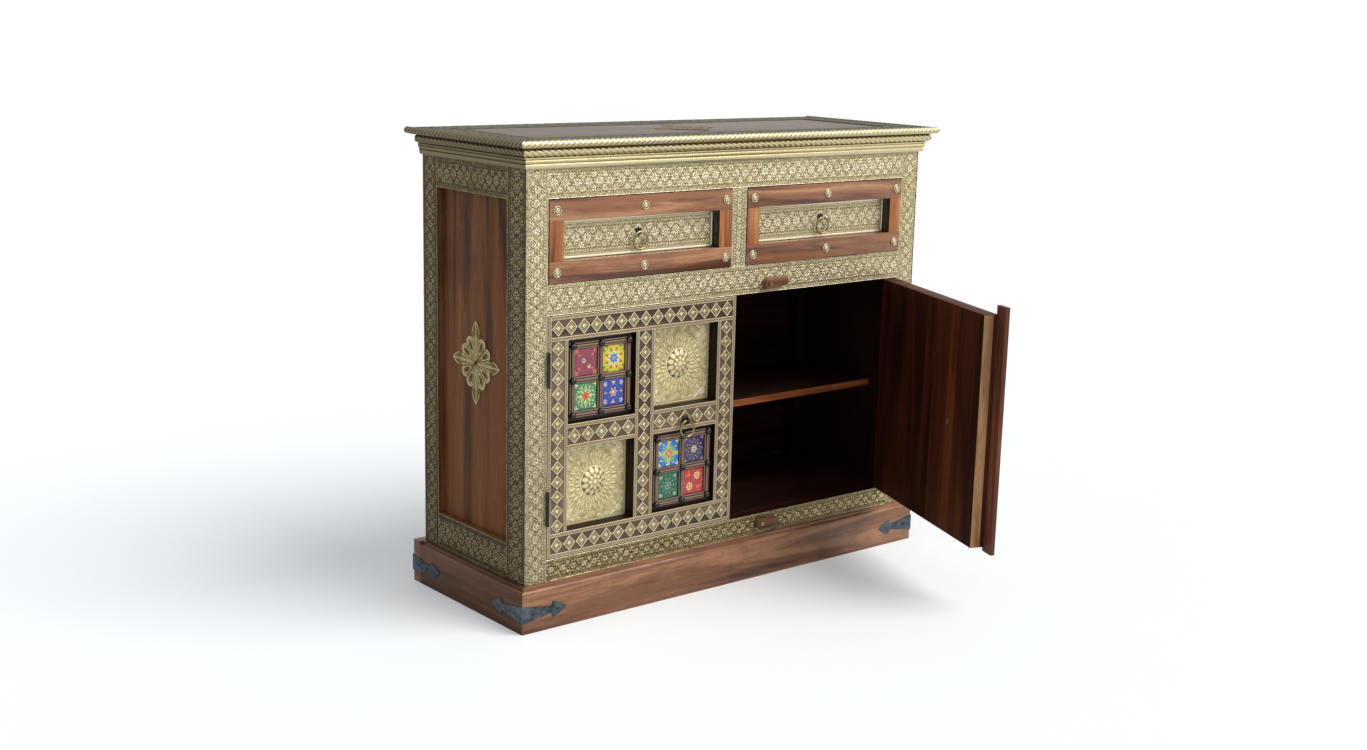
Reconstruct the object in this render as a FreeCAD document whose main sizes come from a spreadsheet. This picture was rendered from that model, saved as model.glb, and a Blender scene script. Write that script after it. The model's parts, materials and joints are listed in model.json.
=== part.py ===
import FreeCAD, Part
import math
import os
import types

import Sketcher

# A brass-clad sideboard with two drawers over two doors, shown with its right door standing open.
# X runs to the right along the front, Y runs to the back and Z up. The origin is on the floor, under
# the middle of the carcass. Every size below is in millimetres, and every angle in degrees.

SIZES = {
    # Carcass, over its brass
    "body_width": 992.0,
    "body_depth": 350.0,
    "total_height": 900.0,
    "cornice_height": 51.0,
    "skin_thickness": 1.6,
    "post_width": 46.5,
    "front_post_depth": 62.0,
    "back_post_depth": 50.0,
    "side_top_rail_height": 58.0,
    "side_bottom_rail_height": 67.0,
    "side_rail_thickness": 22.0,
    "side_panel_recess": 12.0,
    "front_rail_thickness": 22.0,
    "divider_width": 36.0,
    "partition_thickness": 16.0,
    "back_panel_thickness": 8.0,
    "back_rail_thickness": 18.0,
    "bottom_board_thickness": 18.0,
    "dust_board_thickness": 10.0,
    "runner_height": 14.0,
    "runner_width": 20.0,
    "guide_rise": 20.0,
    "floor_drop": 1.0,
    "shelf_thickness": 15.0,
    "shelf_top_height": 347.0,
    "shelf_setback": 90.0,
    "cleat_height": 22.0,
    "cleat_width": 14.0,
    "side_rosette_reach": 81.0,
    "rosette_thickness": 2.5,
    # Plinth and its iron straps
    "plinth_overhang": 16.5,
    "plinth_thickness": 24.0,
    "plinth_step_height": 5.0,
    "plinth_step_inset": 4.0,
    "plinth_round": 5.0,
    "bearer_width": 40.0,
    "back_overhang": 18.0,
    "strap_thickness": 1.6,
    "strap_reach": 100.0,
    "strap_height": 34.0,
    "strap_centre_height": 38.0,
    "nail_radius": 3.0,
    "nail_rise": 1.6,
    # Top and cornice
    "top_thickness": 11.0,
    "top_overhang": 18.5,
    "upper_rope_radius": 6.5,
    "upper_rope_reach": 4.7,
    "lower_rope_radius": 7.5,
    "lower_rope_reach": 7.2,
    "frieze_reach": 3.5,
    "frieze_thickness": 20.0,
    "top_border_width": 66.0,
    "top_border_inset": 4.0,
    "top_skin_thickness": 1.0,
    "top_rosette_radius": 75.0,
    # Doors
    "door_gap": 1.5,
    "meeting_gap": 2.2,
    "hinge_gap": 2.0,
    "door_member_width": 45.0,
    "door_frame_thickness": 24.6,
    "door_back_thickness": 4.0,
    "lattice_thickness": 2.4,
    "door_open_angle": 69.0,
    "tile_border_width": 7.4,
    "tile_border_thickness": 4.0,
    "tile_seat_thickness": 11.0,
    "tile_bar_width": 13.0,
    "tile_bar_thickness": 11.0,
    "tile_thickness": 7.0,
    "tile_joint": 0.3,
    "ball_radius": 6.8,
    "door_rosette_radius": 25.0,
    "door_rosette_rise": 9.0,
    "strip_width": 34.0,
    "strip_overlap": 24.0,
    "strip_thickness": 9.5,
    "strip_rise": 17.0,
    "strip_drop": 10.0,
    "strip_clearance": 0.5,
    # Butt hinges
    "hinge_height": 65.0,
    "hinge_edge_distance": 65.0,
    "hinge_leaf_depth": 24.0,
    "hinge_leaf_thickness": 0.8,
    "knuckle_radius": 3.2,
    "knuckle_proud": 3.6,
    "middle_knuckle_height": 25.0,
    "knuckle_clearance": 0.3,
    "pin_radius": 1.5,
    "pin_clearance": 0.05,
    # Drawers
    "drawer_gap": 1.5,
    "drawer_proud": 2.0,
    "drawer_stile_width": 32.0,
    "drawer_frame_thickness": 21.0,
    "drawer_front_thickness": 12.0,
    "drawer_side_thickness": 12.0,
    "drawer_side_height": 118.0,
    "drawer_back_clearance": 16.0,
    "drawer_bottom_thickness": 8.0,
    "drawer_bottom_rise": 8.0,
    "runner_clearance": 0.3,
    "stud_radius": 8.5,
    "stud_rise": 5.0,
    # Ring pulls and their staples
    "ring_reach": 16.3,
    "ring_wire_radius": 2.2,
    "eye_clearance": 0.4,
    "eye_wire_radius": 1.8,
    "eye_standoff": 7.5,
    "boss_radius": 10.0,
    "boss_thickness": 2.0,
    "drawer_ring_clearance": 6.2,
    "door_eye_drop": 5.0,
    # Turn buttons
    "button_centre": 76.0,
    "button_edge_distance": 18.0,
    "button_end_radius": 11.5,
    "button_tail_length": 48.0,
    "button_tail_height": 13.0,
    "button_thickness": 12.0,
    "button_standoff": 0.5,
    "screw_radius": 2.5,
    "screw_clearance": 0.1,
    "screw_head_radius": 4.5,
    "screw_head_thickness": 1.6,
    # One overrun serves all cuts
    "overrun": 5.0,
}

# Heights up the front, as shares of the total height
PLINTH_SHARE = 86 / 900
BOTTOM_RAIL_SHARE = 41 / 900
MID_RAIL_SHARE = 56 / 900
TOP_RAIL_SHARE = 54 / 900
DRAWER_OPENING_SHARE = 154 / 900
DOOR_MEMBER_SHARE = 47 / 900
DRAWER_RAIL_SHARE = 39.5 / 900

# Outlines, as shares of the sizes that they follow. A bulge is a share of half the chord.
QUARTER_ROUND_SHARE = math.tan(math.pi / 8)
HALF_ROUND_SHARE = 0.999
ROSETTE_QUARTERS = 4
ROSETTE_SHARES = (1.00, 0.56, 0.72, 0.56)
ROSETTE_BULGE_SHARE = 0.24
STRAP_SHARES = ((0.0, 1.0), (0.66, 0.34), (0.70, 0.92), (0.84, 0.62))
NAIL_PLACE_SHARES = (0.24, 0.80)
FRIEZE_SHARES = (
    (0.00, 0.00),
    (0.10, 0.00),
    (0.10, 0.16),
    (0.26, 0.62),
    (0.16, 0.70),
    (0.16, 0.78),
    (0.36, 0.82),
    (0.36, 1.00),
    (0.00, 1.00),
)
BUTTON_TAPER_SHARE = 0.5

os.makedirs("parts", exist_ok=True)
doc = FreeCAD.newDocument("cabinet")
sheet = doc.addObject("Spreadsheet::Sheet", "Sizes")
for row, (alias, amount) in enumerate(SIZES.items(), start=1):
    sheet.set(f"A{row}", alias)
    sheet.set(f"B{row}", str(amount))
    sheet.setAlias(f"B{row}", alias)
doc.recompute()


class Length:
    """A size, with its value in millimetres and the expression that ties it to the sheet."""

    def __init__(self, value, text):
        self.value = value
        self.text = text

    def __add__(self, other):
        other = as_length(other)
        return Length(self.value + other.value, f"({self.text} + {other.text})")

    def __sub__(self, other):
        other = as_length(other)
        return Length(self.value - other.value, f"({self.text} - {other.text})")

    def __mul__(self, other):
        other = as_length(other)
        return Length(self.value * other.value, f"({self.text} * {other.text})")

    def __truediv__(self, other):
        other = as_length(other)
        return Length(self.value / other.value, f"({self.text} / {other.text})")

    def __neg__(self):
        return Length(-self.value, f"(-1 * {self.text})")


def as_length(amount):
    """A Length as it is, or a plain share or count as one."""
    if isinstance(amount, Length):
        return amount
    return Length(float(amount), f"{float(amount):.9f}")


def bind(owner, prop, amount):
    """Ties a property of an object to the sheet."""
    owner.setExpression(prop, as_length(amount).text)


size = types.SimpleNamespace(**{n: Length(v, "Sizes." + n) for n, v in SIZES.items()})
ZERO = as_length(0)

# Places that several pieces share
half_width = size.body_width / 2
half_depth = size.body_depth / 2
body_top = size.total_height - size.cornice_height
plinth_top = size.total_height * PLINTH_SHARE
wood_front = -half_depth + size.skin_thickness
wood_side = half_width - size.skin_thickness
post_inner = half_width - size.post_width
front_post_back = -half_depth + size.front_post_depth
back_post_front = half_depth - size.back_post_depth
rail_back = wood_front + size.front_rail_thickness
side_wall_inner = wood_side - size.side_rail_thickness
side_panel_outer = half_width - size.side_panel_recess
side_panel_top = body_top - size.side_top_rail_height
side_panel_bottom = plinth_top + size.side_bottom_rail_height
back_rail_front = half_depth - size.back_rail_thickness
drawer_opening_top = body_top - size.total_height * TOP_RAIL_SHARE
drawer_opening_bottom = drawer_opening_top - size.total_height * DRAWER_OPENING_SHARE
door_opening_top = drawer_opening_bottom - size.total_height * MID_RAIL_SHARE
door_opening_bottom = plinth_top + size.total_height * BOTTOM_RAIL_SHARE
top_front = half_depth + size.top_overhang
top_side = half_width + size.top_overhang
top_back = half_depth + size.back_overhang
top_face = size.total_height - size.upper_rope_radius / 2
top_underside = top_face - size.top_thickness
finished = []


def block(name, x, y, z):
    """A board. Each of x, y and z holds its low and its high face."""
    box = doc.addObject("Part::Box", name)
    for prop, axis, (low, high) in (("Length", "x", x), ("Width", "y", y), ("Height", "z", z)):
        bind(box, prop, as_length(high) - low)
        bind(box, f"Placement.Base.{axis}", low)
    return box


def span(side, near, far):
    """The low and the high X of a piece between two distances from the middle, on one side of it."""
    return (-far, -near) if side == "left" else (as_length(near), as_length(far))


def outward(side, distance):
    """An X at a distance from the middle, on one side of it."""
    return -distance if side == "left" else distance


def group(name, members):
    """Separate solids that share one node."""
    compound = doc.addObject("Part::Compound", name)
    compound.Links = members
    return compound


def fused(name, members):
    """Solids joined into one piece."""
    fusion = doc.addObject("Part::MultiFuse", name)
    fusion.Shapes = members
    return fusion


def cut(name, base, tool):
    """One solid with another taken out of it."""
    difference = doc.addObject("Part::Cut", name)
    difference.Base = base
    difference.Tool = tool
    return difference


def common(name, base, tool):
    """What two solids share."""
    shared = doc.addObject("Part::Common", name)
    shared.Base = base
    shared.Tool = tool
    return shared


def finish(piece):
    """Marks a piece as one of the nodes, which its label names."""
    piece.Label = piece.Name
    finished.append(piece)
    return piece


def bulged(start, end, bulge):
    """The middle point and the radius of an arc between two points. A bulge above zero goes to the right."""
    across = end[0] - start[0]
    along = end[1] - start[1]
    chord = math.hypot(across.value, along.value)
    middle = FreeCAD.Vector(
        (start[0].value + end[0].value + bulge * along.value) / 2,
        (start[1].value + end[1].value - bulge * across.value) / 2,
        0,
    )
    text = f"sqrt({across.text} * {across.text} + {along.text} * {along.text})"
    return middle, Length(chord, text) * ((1 + bulge * bulge) / (4 * abs(bulge)))


def draw(sketch, outline, bulges):
    """A closed outline with every corner tied to the sheet. bulges holds its arcs, by their first corner."""
    count = len(outline)
    # A sketch counts an arc's ends anticlockwise, so an arc that bulges to the left starts at its second end
    starts = [2 if bulges.get(index, 0) < 0 else 1 for index in range(count)]
    for index, (start, end) in enumerate(zip(outline, outline[1:] + outline[:1])):
        first = FreeCAD.Vector(start[0].value, start[1].value, 0)
        last = FreeCAD.Vector(end[0].value, end[1].value, 0)
        if index in bulges:
            middle, radius = bulged(start, end, bulges[index])
            sketch.addGeometry(Part.Arc(first, middle, last), False)
        else:
            sketch.addGeometry(Part.LineSegment(first, last), False)
    for index, corner in enumerate(outline):
        before = (index - 1) % count
        joint = Sketcher.Constraint("Coincident", before, 3 - starts[before], index, starts[index])
        sketch.addConstraint(joint)
        for kind, amount in zip(("DistanceX", "DistanceY"), corner):
            place = Sketcher.Constraint(kind, -1, 1, index, starts[index], amount.value)
            bind(sketch, f"Constraints[{sketch.addConstraint(place)}]", amount)
    for index, bulge in bulges.items():
        middle, radius = bulged(outline[index], outline[(index + 1) % count], bulge)
        number = sketch.addConstraint(Sketcher.Constraint("Radius", index, radius.value))
        bind(sketch, f"Constraints[{number}]", radius)


def sketch_on(body, name, plane, offset):
    """A sketch on one of the body's own planes, moved along that plane's normal."""
    sketch = body.newObject("Sketcher::SketchObject", name)
    origin_plane = next(o for o in body.Origin.OriginFeatures if o.Role == plane)
    sketch.AttachmentSupport = [(origin_plane, "")]
    sketch.MapMode = "FlatFace"
    bind(sketch, "AttachmentOffset.Base.z", offset)
    return sketch


def slab(name, plane, outline, low, high, bulges=None):
    """An outline padded between two places along an axis. It is drawn in the other two, in their order."""
    body = doc.addObject("PartDesign::Body", name)
    outline = [(as_length(u), as_length(v)) for u, v in outline]
    # The normal of the XZ plane points along minus Y, so there the pad starts at its high face
    start = -as_length(high) if plane == "XZ_Plane" else low
    sketch = sketch_on(body, name + "_outline", plane, start)
    draw(sketch, outline, bulges or {})
    pad = body.newObject("PartDesign::Pad", name + "_pad")
    pad.Profile = sketch
    bind(pad, "Length", as_length(high) - low)
    return body


def rectangle(u, v):
    """The four corners of a rectangle between two places each way."""
    return [(u[0], v[0]), (u[1], v[0]), (u[1], v[1]), (u[0], v[1])]


def pocketed(body, plane, outlines, low, high):
    """Cuts openings right through a padded body."""
    start = -as_length(high) if plane == "XZ_Plane" else low
    for number, outline in enumerate(outlines):
        sketch = sketch_on(body, f"{body.Name}_opening_{number}", plane, start - size.overrun)
        draw(sketch, [(as_length(u), as_length(v)) for u, v in outline], {})
        doc.recompute()
        pocket = body.newObject("PartDesign::Pocket", f"{body.Name}_pocket_{number}")
        pocket.Profile = sketch
        pocket.Reversed = True
        bind(pocket, "Length", as_length(high) - low + size.overrun * 2)
        before = body.Shape.Volume
        doc.recompute()
        if not body.Shape.Volume < before:
            raise RuntimeError(f"{body.Name} lost nothing to its pocket")
    return body


def cylinder(name, radius, length, centre, axis):
    """A round bar that starts at its centre and runs along an axis."""
    bar = doc.addObject("Part::Cylinder", name)
    bind(bar, "Radius", radius)
    bind(bar, "Height", length)
    turn(bar, centre, axis)
    return bar


TURNS = {
    "x": (FreeCAD.Vector(0, 1, 0), 90),
    "y": (FreeCAD.Vector(1, 0, 0), -90),
    "z": (FreeCAD.Vector(0, 0, 1), 0),
    "front": (FreeCAD.Vector(1, 0, 0), 90),
    "left": (FreeCAD.Vector(0, 1, 0), -90),
    "right": (FreeCAD.Vector(0, 1, 0), 90),
}


def turn(piece, centre, axis):
    """Places a piece that was made along Z, so that it lies along an axis or faces one way."""
    direction, angle = TURNS[axis]
    piece.Placement.Rotation = FreeCAD.Rotation(direction, angle)
    for letter, place in zip("xyz", centre):
        bind(piece, f"Placement.Base.{letter}", place)


def torus(name, reach, wire_radius, centre, axis):
    """A ring whose wire has its middle at a reach from the centre."""
    ring = doc.addObject("Part::Torus", name)
    bind(ring, "Radius1", reach)
    bind(ring, "Radius2", wire_radius)
    turn(ring, centre, axis)
    return ring


def dome(name, radius, rise, centre, facing):
    """A round head on a surface: the cap of a ball, with a radius at its foot and a rise."""
    ball_radius = (radius * radius + rise * rise) / (rise * 2)
    depth = ball_radius - rise
    cap = doc.addObject("Part::Sphere", name)
    bind(cap, "Radius", ball_radius)
    cap.setExpression("Angle1", f"asin({depth.text} / {ball_radius.text})")
    x, y, z = (as_length(place) for place in centre)
    middle = {
        "front": (x, y + depth, z),
        "left": (x + depth, y, z),
        "right": (x - depth, y, z),
    }[facing]
    turn(cap, middle, facing)
    return cap


def rosette(name, plane, reach, centre, low, high):
    """A flat rosette: four long pointed petals along the axes, and four short ones between them."""
    outline = []
    corners = ROSETTE_QUARTERS * len(ROSETTE_SHARES)
    for step in range(corners):
        angle = 2 * math.pi * step / corners
        share = ROSETTE_SHARES[step % len(ROSETTE_SHARES)]
        across = reach * round(share * math.sin(angle), 6)
        outline.append((centre[0] - across, centre[1] + reach * round(share * math.cos(angle), 6)))
    bulges = {corner: ROSETTE_BULGE_SHARE for corner in range(corners)}
    return slab(name, plane, outline, low, high, bulges)


# The region in front of the two mitres at the front corners, which parts front from side mouldings
mitre_reach = size.plinth_overhang + size.top_overhang + size.upper_rope_radius + size.overrun
mitre_zone = slab(
    "mitre_zone",
    "XY_Plane",
    [
        (-half_width - mitre_reach, -half_depth - mitre_reach),
        (half_width + mitre_reach, -half_depth - mitre_reach),
        (half_width - half_depth / 2, -half_depth / 2),
        (-half_width + half_depth / 2, -half_depth / 2),
    ],
    ZERO,
    size.total_height + size.overrun,
)


def run(name, side, profile, back, bulges=None):
    """A moulding mitred at the front corners. Its profile is distances out from the carcass, and heights."""
    bulges = bulges or {}
    if side == "front":
        outline = [(-half_depth - out, height) for out, height in profile]
        reach = half_width + mitre_reach
        bulges = {corner: -bulge for corner, bulge in bulges.items()}
        length = slab(name + "_length", "YZ_Plane", outline, -reach, reach, bulges)
        return common(name, length, mitre_zone)
    outline = [(outward(side, half_width + out), height) for out, height in profile]
    if side == "left":
        bulges = {corner: -bulge for corner, bulge in bulges.items()}
    length = slab(name + "_length", "XZ_Plane", outline, -half_depth - mitre_reach, back, bulges)
    return cut(name, length, mitre_zone)


def rope(name, side, reach, height, radius, seat, back):
    """A round moulding whose flat back lies at the seat, a distance out from the carcass."""
    around = (height - radius * 2, height + radius * 2)
    if side == "front":
        far = half_width + mitre_reach
        bar = cylinder(name + "_bar", radius, far * 2, (-far, -half_depth - reach, height), "x")
        waste = block(name + "_seat", (-far, far), (-half_depth - seat, ZERO), around)
        return common(name, cut(name + "_flat", bar, waste), mitre_zone)
    start = -half_depth - mitre_reach
    centre = (outward(side, half_width + reach), start, height)
    bar = cylinder(name + "_bar", radius, back - start, centre, "y")
    waste = block(name + "_seat", span(side, half_width - radius, half_width + seat), (start, back), around)
    return cut(name, cut(name + "_flat", bar, waste), mitre_zone)


def make_plinth():
    """Four boards with a stepped and rounded top edge, and a bearer under the middle."""
    inner = size.plinth_overhang - size.plinth_thickness
    outer = size.plinth_overhang
    step = plinth_top - size.plinth_step_height
    profile = [
        (inner, ZERO),
        (outer, ZERO),
        (outer, step - size.plinth_round),
        (outer - size.plinth_round, step),
        (outer - size.plinth_round - size.plinth_step_inset / 2, step),
        (outer - size.plinth_round - size.plinth_step_inset / 2, plinth_top),
        (inner, plinth_top),
    ]
    back_inner = top_back - size.plinth_thickness
    rounded = {2: QUARTER_ROUND_SHARE}
    finish(run("plinth_front", "front", profile, back_inner, rounded))
    sides = [run(f"plinth_{side}", side, profile, back_inner, rounded) for side in ("left", "right")]
    finish(group("plinth_sides", sides))
    reach = half_width + size.plinth_overhang
    finish(block("plinth_back", (-reach, reach), (back_inner, top_back), (ZERO, plinth_top)))
    front_inner = -half_depth - inner
    half_bearer = size.bearer_width / 2
    deep = (front_inner, back_inner)
    finish(block("plinth_bearer", (-half_bearer, half_bearer), deep, (ZERO, plinth_top)))


def strap_leg(name, corner, direction, plane, low, high):
    """One leg of an iron corner strap: wide at the corner, narrow at the neck, with a spear head."""
    half = size.strap_height / 2

    def place(along_share, height_share, sign):
        along = corner + size.strap_reach * (along_share * direction)
        return along, size.strap_centre_height + half * (height_share * sign)

    upper = [place(*shares, 1) for shares in STRAP_SHARES]
    lower = [place(*shares, -1) for shares in STRAP_SHARES]
    return slab(name, plane, upper + [place(1, 0, 1)] + lower[::-1], low, high)


def make_straps():
    """Blackened iron straps that wrap the plinth's corners, and the nails that hold them."""
    straps, nails = [], []
    wrap = size.strap_thickness
    for end, face, toward in (("front", -half_depth - size.plinth_overhang, -1), ("back", top_back, 1)):
        outer_face = face + wrap * toward
        for side in ("left", "right"):
            inward = 1 if side == "left" else -1
            name = f"{end}_{side}_strap"
            edge = outward(side, half_width + size.plinth_overhang)
            outer_edge = edge - wrap * inward
            low, high = (outer_face, face) if toward < 0 else (face, outer_face)
            long_leg = strap_leg(name + "_long", outer_edge, inward, "XZ_Plane", low, high)
            low, high = (outer_edge, edge) if inward > 0 else (edge, outer_edge)
            short_leg = strap_leg(name + "_short", outer_face, -toward, "YZ_Plane", low, high)
            straps.append(fused(name, [long_leg, short_leg]))
            for number, share in enumerate(NAIL_PLACE_SHARES):
                along = size.strap_reach * share
                nail = (size.nail_radius, size.nail_rise)
                # The back strap's long leg faces the wall and has no nail heads
                if end == "front":
                    centre = (outer_edge + along * inward, outer_face, size.strap_centre_height)
                    nails.append(dome(f"{name}_nail_{number}", *nail, centre, "front"))
                centre = (outer_edge, outer_face - along * toward, size.strap_centre_height)
                nails.append(dome(f"{name}_side_nail_{number}", *nail, centre, side))
    finish(group("corner_straps", straps))
    finish(group("strap_nails", nails))


def make_frame():
    """Posts, rails and panels of the carcass."""
    upright = (plinth_top, body_top)
    deep = (wood_front, front_post_back)
    for side in ("left", "right"):
        finish(block(f"front_{side}_post", span(side, post_inner, wood_side), deep, upright))
    finish(group("back_posts", [
        block(f"back_{side}_post", span(side, post_inner, wood_side), (back_post_front, half_depth), upright)
        for side in ("left", "right")
    ]))
    between = (front_post_back, back_post_front)
    rails = []
    panels = []
    for side in ("left", "right"):
        thick = span(side, side_wall_inner, wood_side)
        rails.append(block(f"{side}_top_rail", thick, between, (side_panel_top, body_top)))
        rails.append(block(f"{side}_bottom_rail", thick, between, (plinth_top, side_panel_bottom)))
        recessed = span(side, side_wall_inner, side_panel_outer)
        panels.append(block(f"{side}_panel", recessed, between, (side_panel_bottom, side_panel_top)))
    finish(group("side_rails", rails))
    finish(group("side_panels", panels))
    clear = (-post_inner, post_inner)
    thick = (wood_front, rail_back)
    finish(block("top_front_rail", clear, thick, (drawer_opening_top, body_top)))
    finish(block("mid_front_rail", clear, thick, (door_opening_top, drawer_opening_bottom)))
    finish(block("bottom_front_rail", clear, thick, (plinth_top, door_opening_bottom)))
    half_divider = size.divider_width / 2
    half_partition = size.partition_thickness / 2
    opening = (drawer_opening_bottom, drawer_opening_top)
    partition_y = (rail_back, back_rail_front)
    partition_z = (drawer_opening_bottom, body_top)
    finish(group("drawer_divider", [
        block("divider_upright", (-half_divider, half_divider), thick, opening),
        block("divider_partition", (-half_partition, half_partition), partition_y, partition_z),
    ]))
    deep = (back_rail_front, half_depth)
    finish(group("back_rails", [
        block("back_top_rail", clear, deep, (side_panel_top, body_top)),
        block("back_bottom_rail", clear, deep, (plinth_top, side_panel_bottom)),
    ]))
    deep = (back_rail_front, back_rail_front + size.back_panel_thickness)
    finish(block("back_panel", clear, deep, (side_panel_bottom, side_panel_top)))


def notched(name, front, low, high, round_front_posts):
    """A board that fills the inside of the carcass, notched round the back posts or all four."""
    wide = side_wall_inner
    front_corners = [(post_inner, front), (post_inner, front_post_back), (wide, front_post_back)]
    right = (front_corners if round_front_posts else [(wide, front)]) + [
        (wide, back_post_front),
        (post_inner, back_post_front),
        (post_inner, back_rail_front),
    ]
    return slab(name, "XY_Plane", right + [(-x, y) for x, y in reversed(right)], low, high)


def make_inside():
    """Bottom board, dust board with the drawer runners and guides, and the shelf on its cleats."""
    floor = door_opening_bottom - size.floor_drop
    finish(notched("bottom_board", rail_back, floor - size.bottom_board_thickness, floor, True))
    dust_top = drawer_opening_bottom - size.runner_height
    finish(notched("dust_board", rail_back, dust_top - size.dust_board_thickness, dust_top, True))
    runners = []
    deep = (rail_back, back_rail_front)
    between = (front_post_back, back_post_front)
    partition_face = size.partition_thickness / 2
    runner_z = (dust_top, drawer_opening_bottom)
    guide_top = drawer_opening_bottom + size.guide_rise
    for side in ("left", "right"):
        inner = span(side, partition_face, partition_face + size.runner_width)
        outer = span(side, post_inner - size.runner_width, post_inner)
        inner_guide = span(side, partition_face, size.divider_width / 2)
        outer_guide = span(side, post_inner, side_wall_inner)
        runners.append(block(f"{side}_inner_runner", inner, deep, runner_z))
        runners.append(block(f"{side}_outer_runner", outer, deep, runner_z))
        runners.append(block(f"{side}_inner_guide", inner_guide, deep, (drawer_opening_bottom, guide_top)))
        runners.append(block(f"{side}_outer_guide", outer_guide, between, (dust_top, guide_top)))
    shelf_front = -half_depth + size.shelf_setback
    under = size.shelf_top_height - size.shelf_thickness
    finish(notched("shelf", shelf_front, under, size.shelf_top_height, False))
    deep = (shelf_front, back_post_front)
    for side in ("left", "right"):
        across = span(side, side_wall_inner - size.cleat_width, side_wall_inner)
        runners.append(block(f"{side}_cleat", across, deep, (under - size.cleat_height, under)))
    finish(group("runners_and_cleats", runners))


def make_top():
    """Top board with its brass, the frieze boards and the three mouldings."""
    finish(block("top_board", (-top_side, top_side), (-top_front, top_back), (top_underside, top_face)))
    skin = (top_face, top_face + size.top_skin_thickness)
    edge_x = top_side - size.top_border_inset
    edge_y = top_front - size.top_border_inset
    edge_back = top_back - size.top_border_inset
    border = slab("top_brass_border", "XY_Plane", rectangle((-edge_x, edge_x), (-edge_y, edge_back)), *skin)
    wide = size.top_border_width
    inside = rectangle((-edge_x + wide, edge_x - wide), (-edge_y + wide, edge_back - wide))
    finish(pocketed(border, "XY_Plane", [inside], *skin))
    finish(rosette("top_rosette", "XY_Plane", size.top_rosette_radius, (ZERO, ZERO), *skin))
    face = half_width + size.frieze_reach
    front = -half_depth - size.frieze_reach
    back = half_depth
    thick = size.frieze_thickness
    tall = (body_top, top_underside)
    finish(group("frieze_boards", [
        block("frieze_front", (-face, face), (front, front + thick), tall),
        block("frieze_left", (-face, -face + thick), (front + thick, back - thick), tall),
        block("frieze_right", (face - thick, face), (front + thick, back - thick), tall),
        block("frieze_back", (-face, face), (back - thick, back), tall),
    ]))
    sides = ("front", "left", "right")
    upper_height = size.total_height - size.upper_rope_radius
    upper_reach = size.top_overhang + size.upper_rope_reach
    upper = (upper_reach, upper_height, size.upper_rope_radius, size.top_overhang, top_back)
    finish(group("upper_rope_moulding", [rope(f"upper_rope_{side}", side, *upper) for side in sides]))
    lower_height = top_underside - size.lower_rope_radius
    lower_reach = size.frieze_reach + size.lower_rope_reach
    lower = (lower_reach, lower_height, size.lower_rope_radius, size.frieze_reach, back)
    finish(group("lower_rope_moulding", [rope(f"lower_rope_{side}", side, *lower) for side in sides]))
    tall = lower_height - size.lower_rope_radius - body_top
    profile = [
        (size.frieze_reach + tall * out_share, body_top + tall * up_share)
        for out_share, up_share in FRIEZE_SHARES
    ]
    finish(group("frieze_moulding", [run(f"frieze_moulding_{side}", side, profile, back) for side in sides]))


def make_cladding():
    """Embossed brass sheet on the front of the frame and on both sides, and the side rosettes."""
    skin = (-half_depth, wood_front)
    upright = (plinth_top, body_top)
    clear = (-post_inner, post_inner)
    half_divider = size.divider_width / 2
    drawers = (drawer_opening_bottom, drawer_opening_top)
    finish(group("front_brass", [
        block("left_post_brass", span("left", post_inner, half_width), skin, upright),
        block("right_post_brass", span("right", post_inner, half_width), skin, upright),
        block("top_rail_brass", clear, skin, (drawer_opening_top, body_top)),
        block("mid_rail_brass", clear, skin, (door_opening_top, drawer_opening_bottom)),
        block("bottom_rail_brass", clear, skin, (plinth_top, door_opening_bottom)),
        block("divider_brass", (-half_divider, half_divider), skin, drawers),
    ]))
    plates = []
    rosettes = []
    opening = rectangle((front_post_back, back_post_front), (side_panel_bottom, side_panel_top))
    middle = (front_post_back + back_post_front) / 2
    centre = (middle, (side_panel_bottom + side_panel_top) / 2)
    for side in ("left", "right"):
        skin = span(side, wood_side, half_width)
        plate = slab(f"{side}_side_brass", "YZ_Plane", rectangle((wood_front, half_depth), upright), *skin)
        plates.append(pocketed(plate, "YZ_Plane", [opening], *skin))
        raised = span(side, side_panel_outer, side_panel_outer + size.rosette_thickness)
        rosettes.append(rosette(f"{side}_side_rosette", "YZ_Plane", size.side_rosette_reach, centre, *raised))
    finish(group("side_brass", plates))
    finish(group("side_rosettes", rosettes))


pin_x = post_inner - size.hinge_gap / 2
pin_y = -half_depth - size.knuckle_proud


def on_open_door(piece):
    """Swings a piece of the right door, made as if it were shut, to where the door stands."""
    piece.Placement.Rotation = FreeCAD.Rotation(FreeCAD.Vector(0, 0, 1), SIZES["door_open_angle"])
    bind(piece, "Placement.Rotation.Angle", size.door_open_angle)
    cosine = f"cos({size.door_open_angle.text})"
    sine = f"sin({size.door_open_angle.text})"
    x, y = pin_x.text, pin_y.text
    piece.setExpression("Placement.Base.x", f"{x} - {x} * {cosine} + {y} * {sine}")
    piece.setExpression("Placement.Base.y", f"{y} - {x} * {sine} - {y} * {cosine}")
    return piece


def hang(side, name, members):
    """One node of a door: the right door's nodes stand open."""
    node = group(name, members)
    if side == "right":
        on_open_door(node)
    return finish(node)


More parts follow.
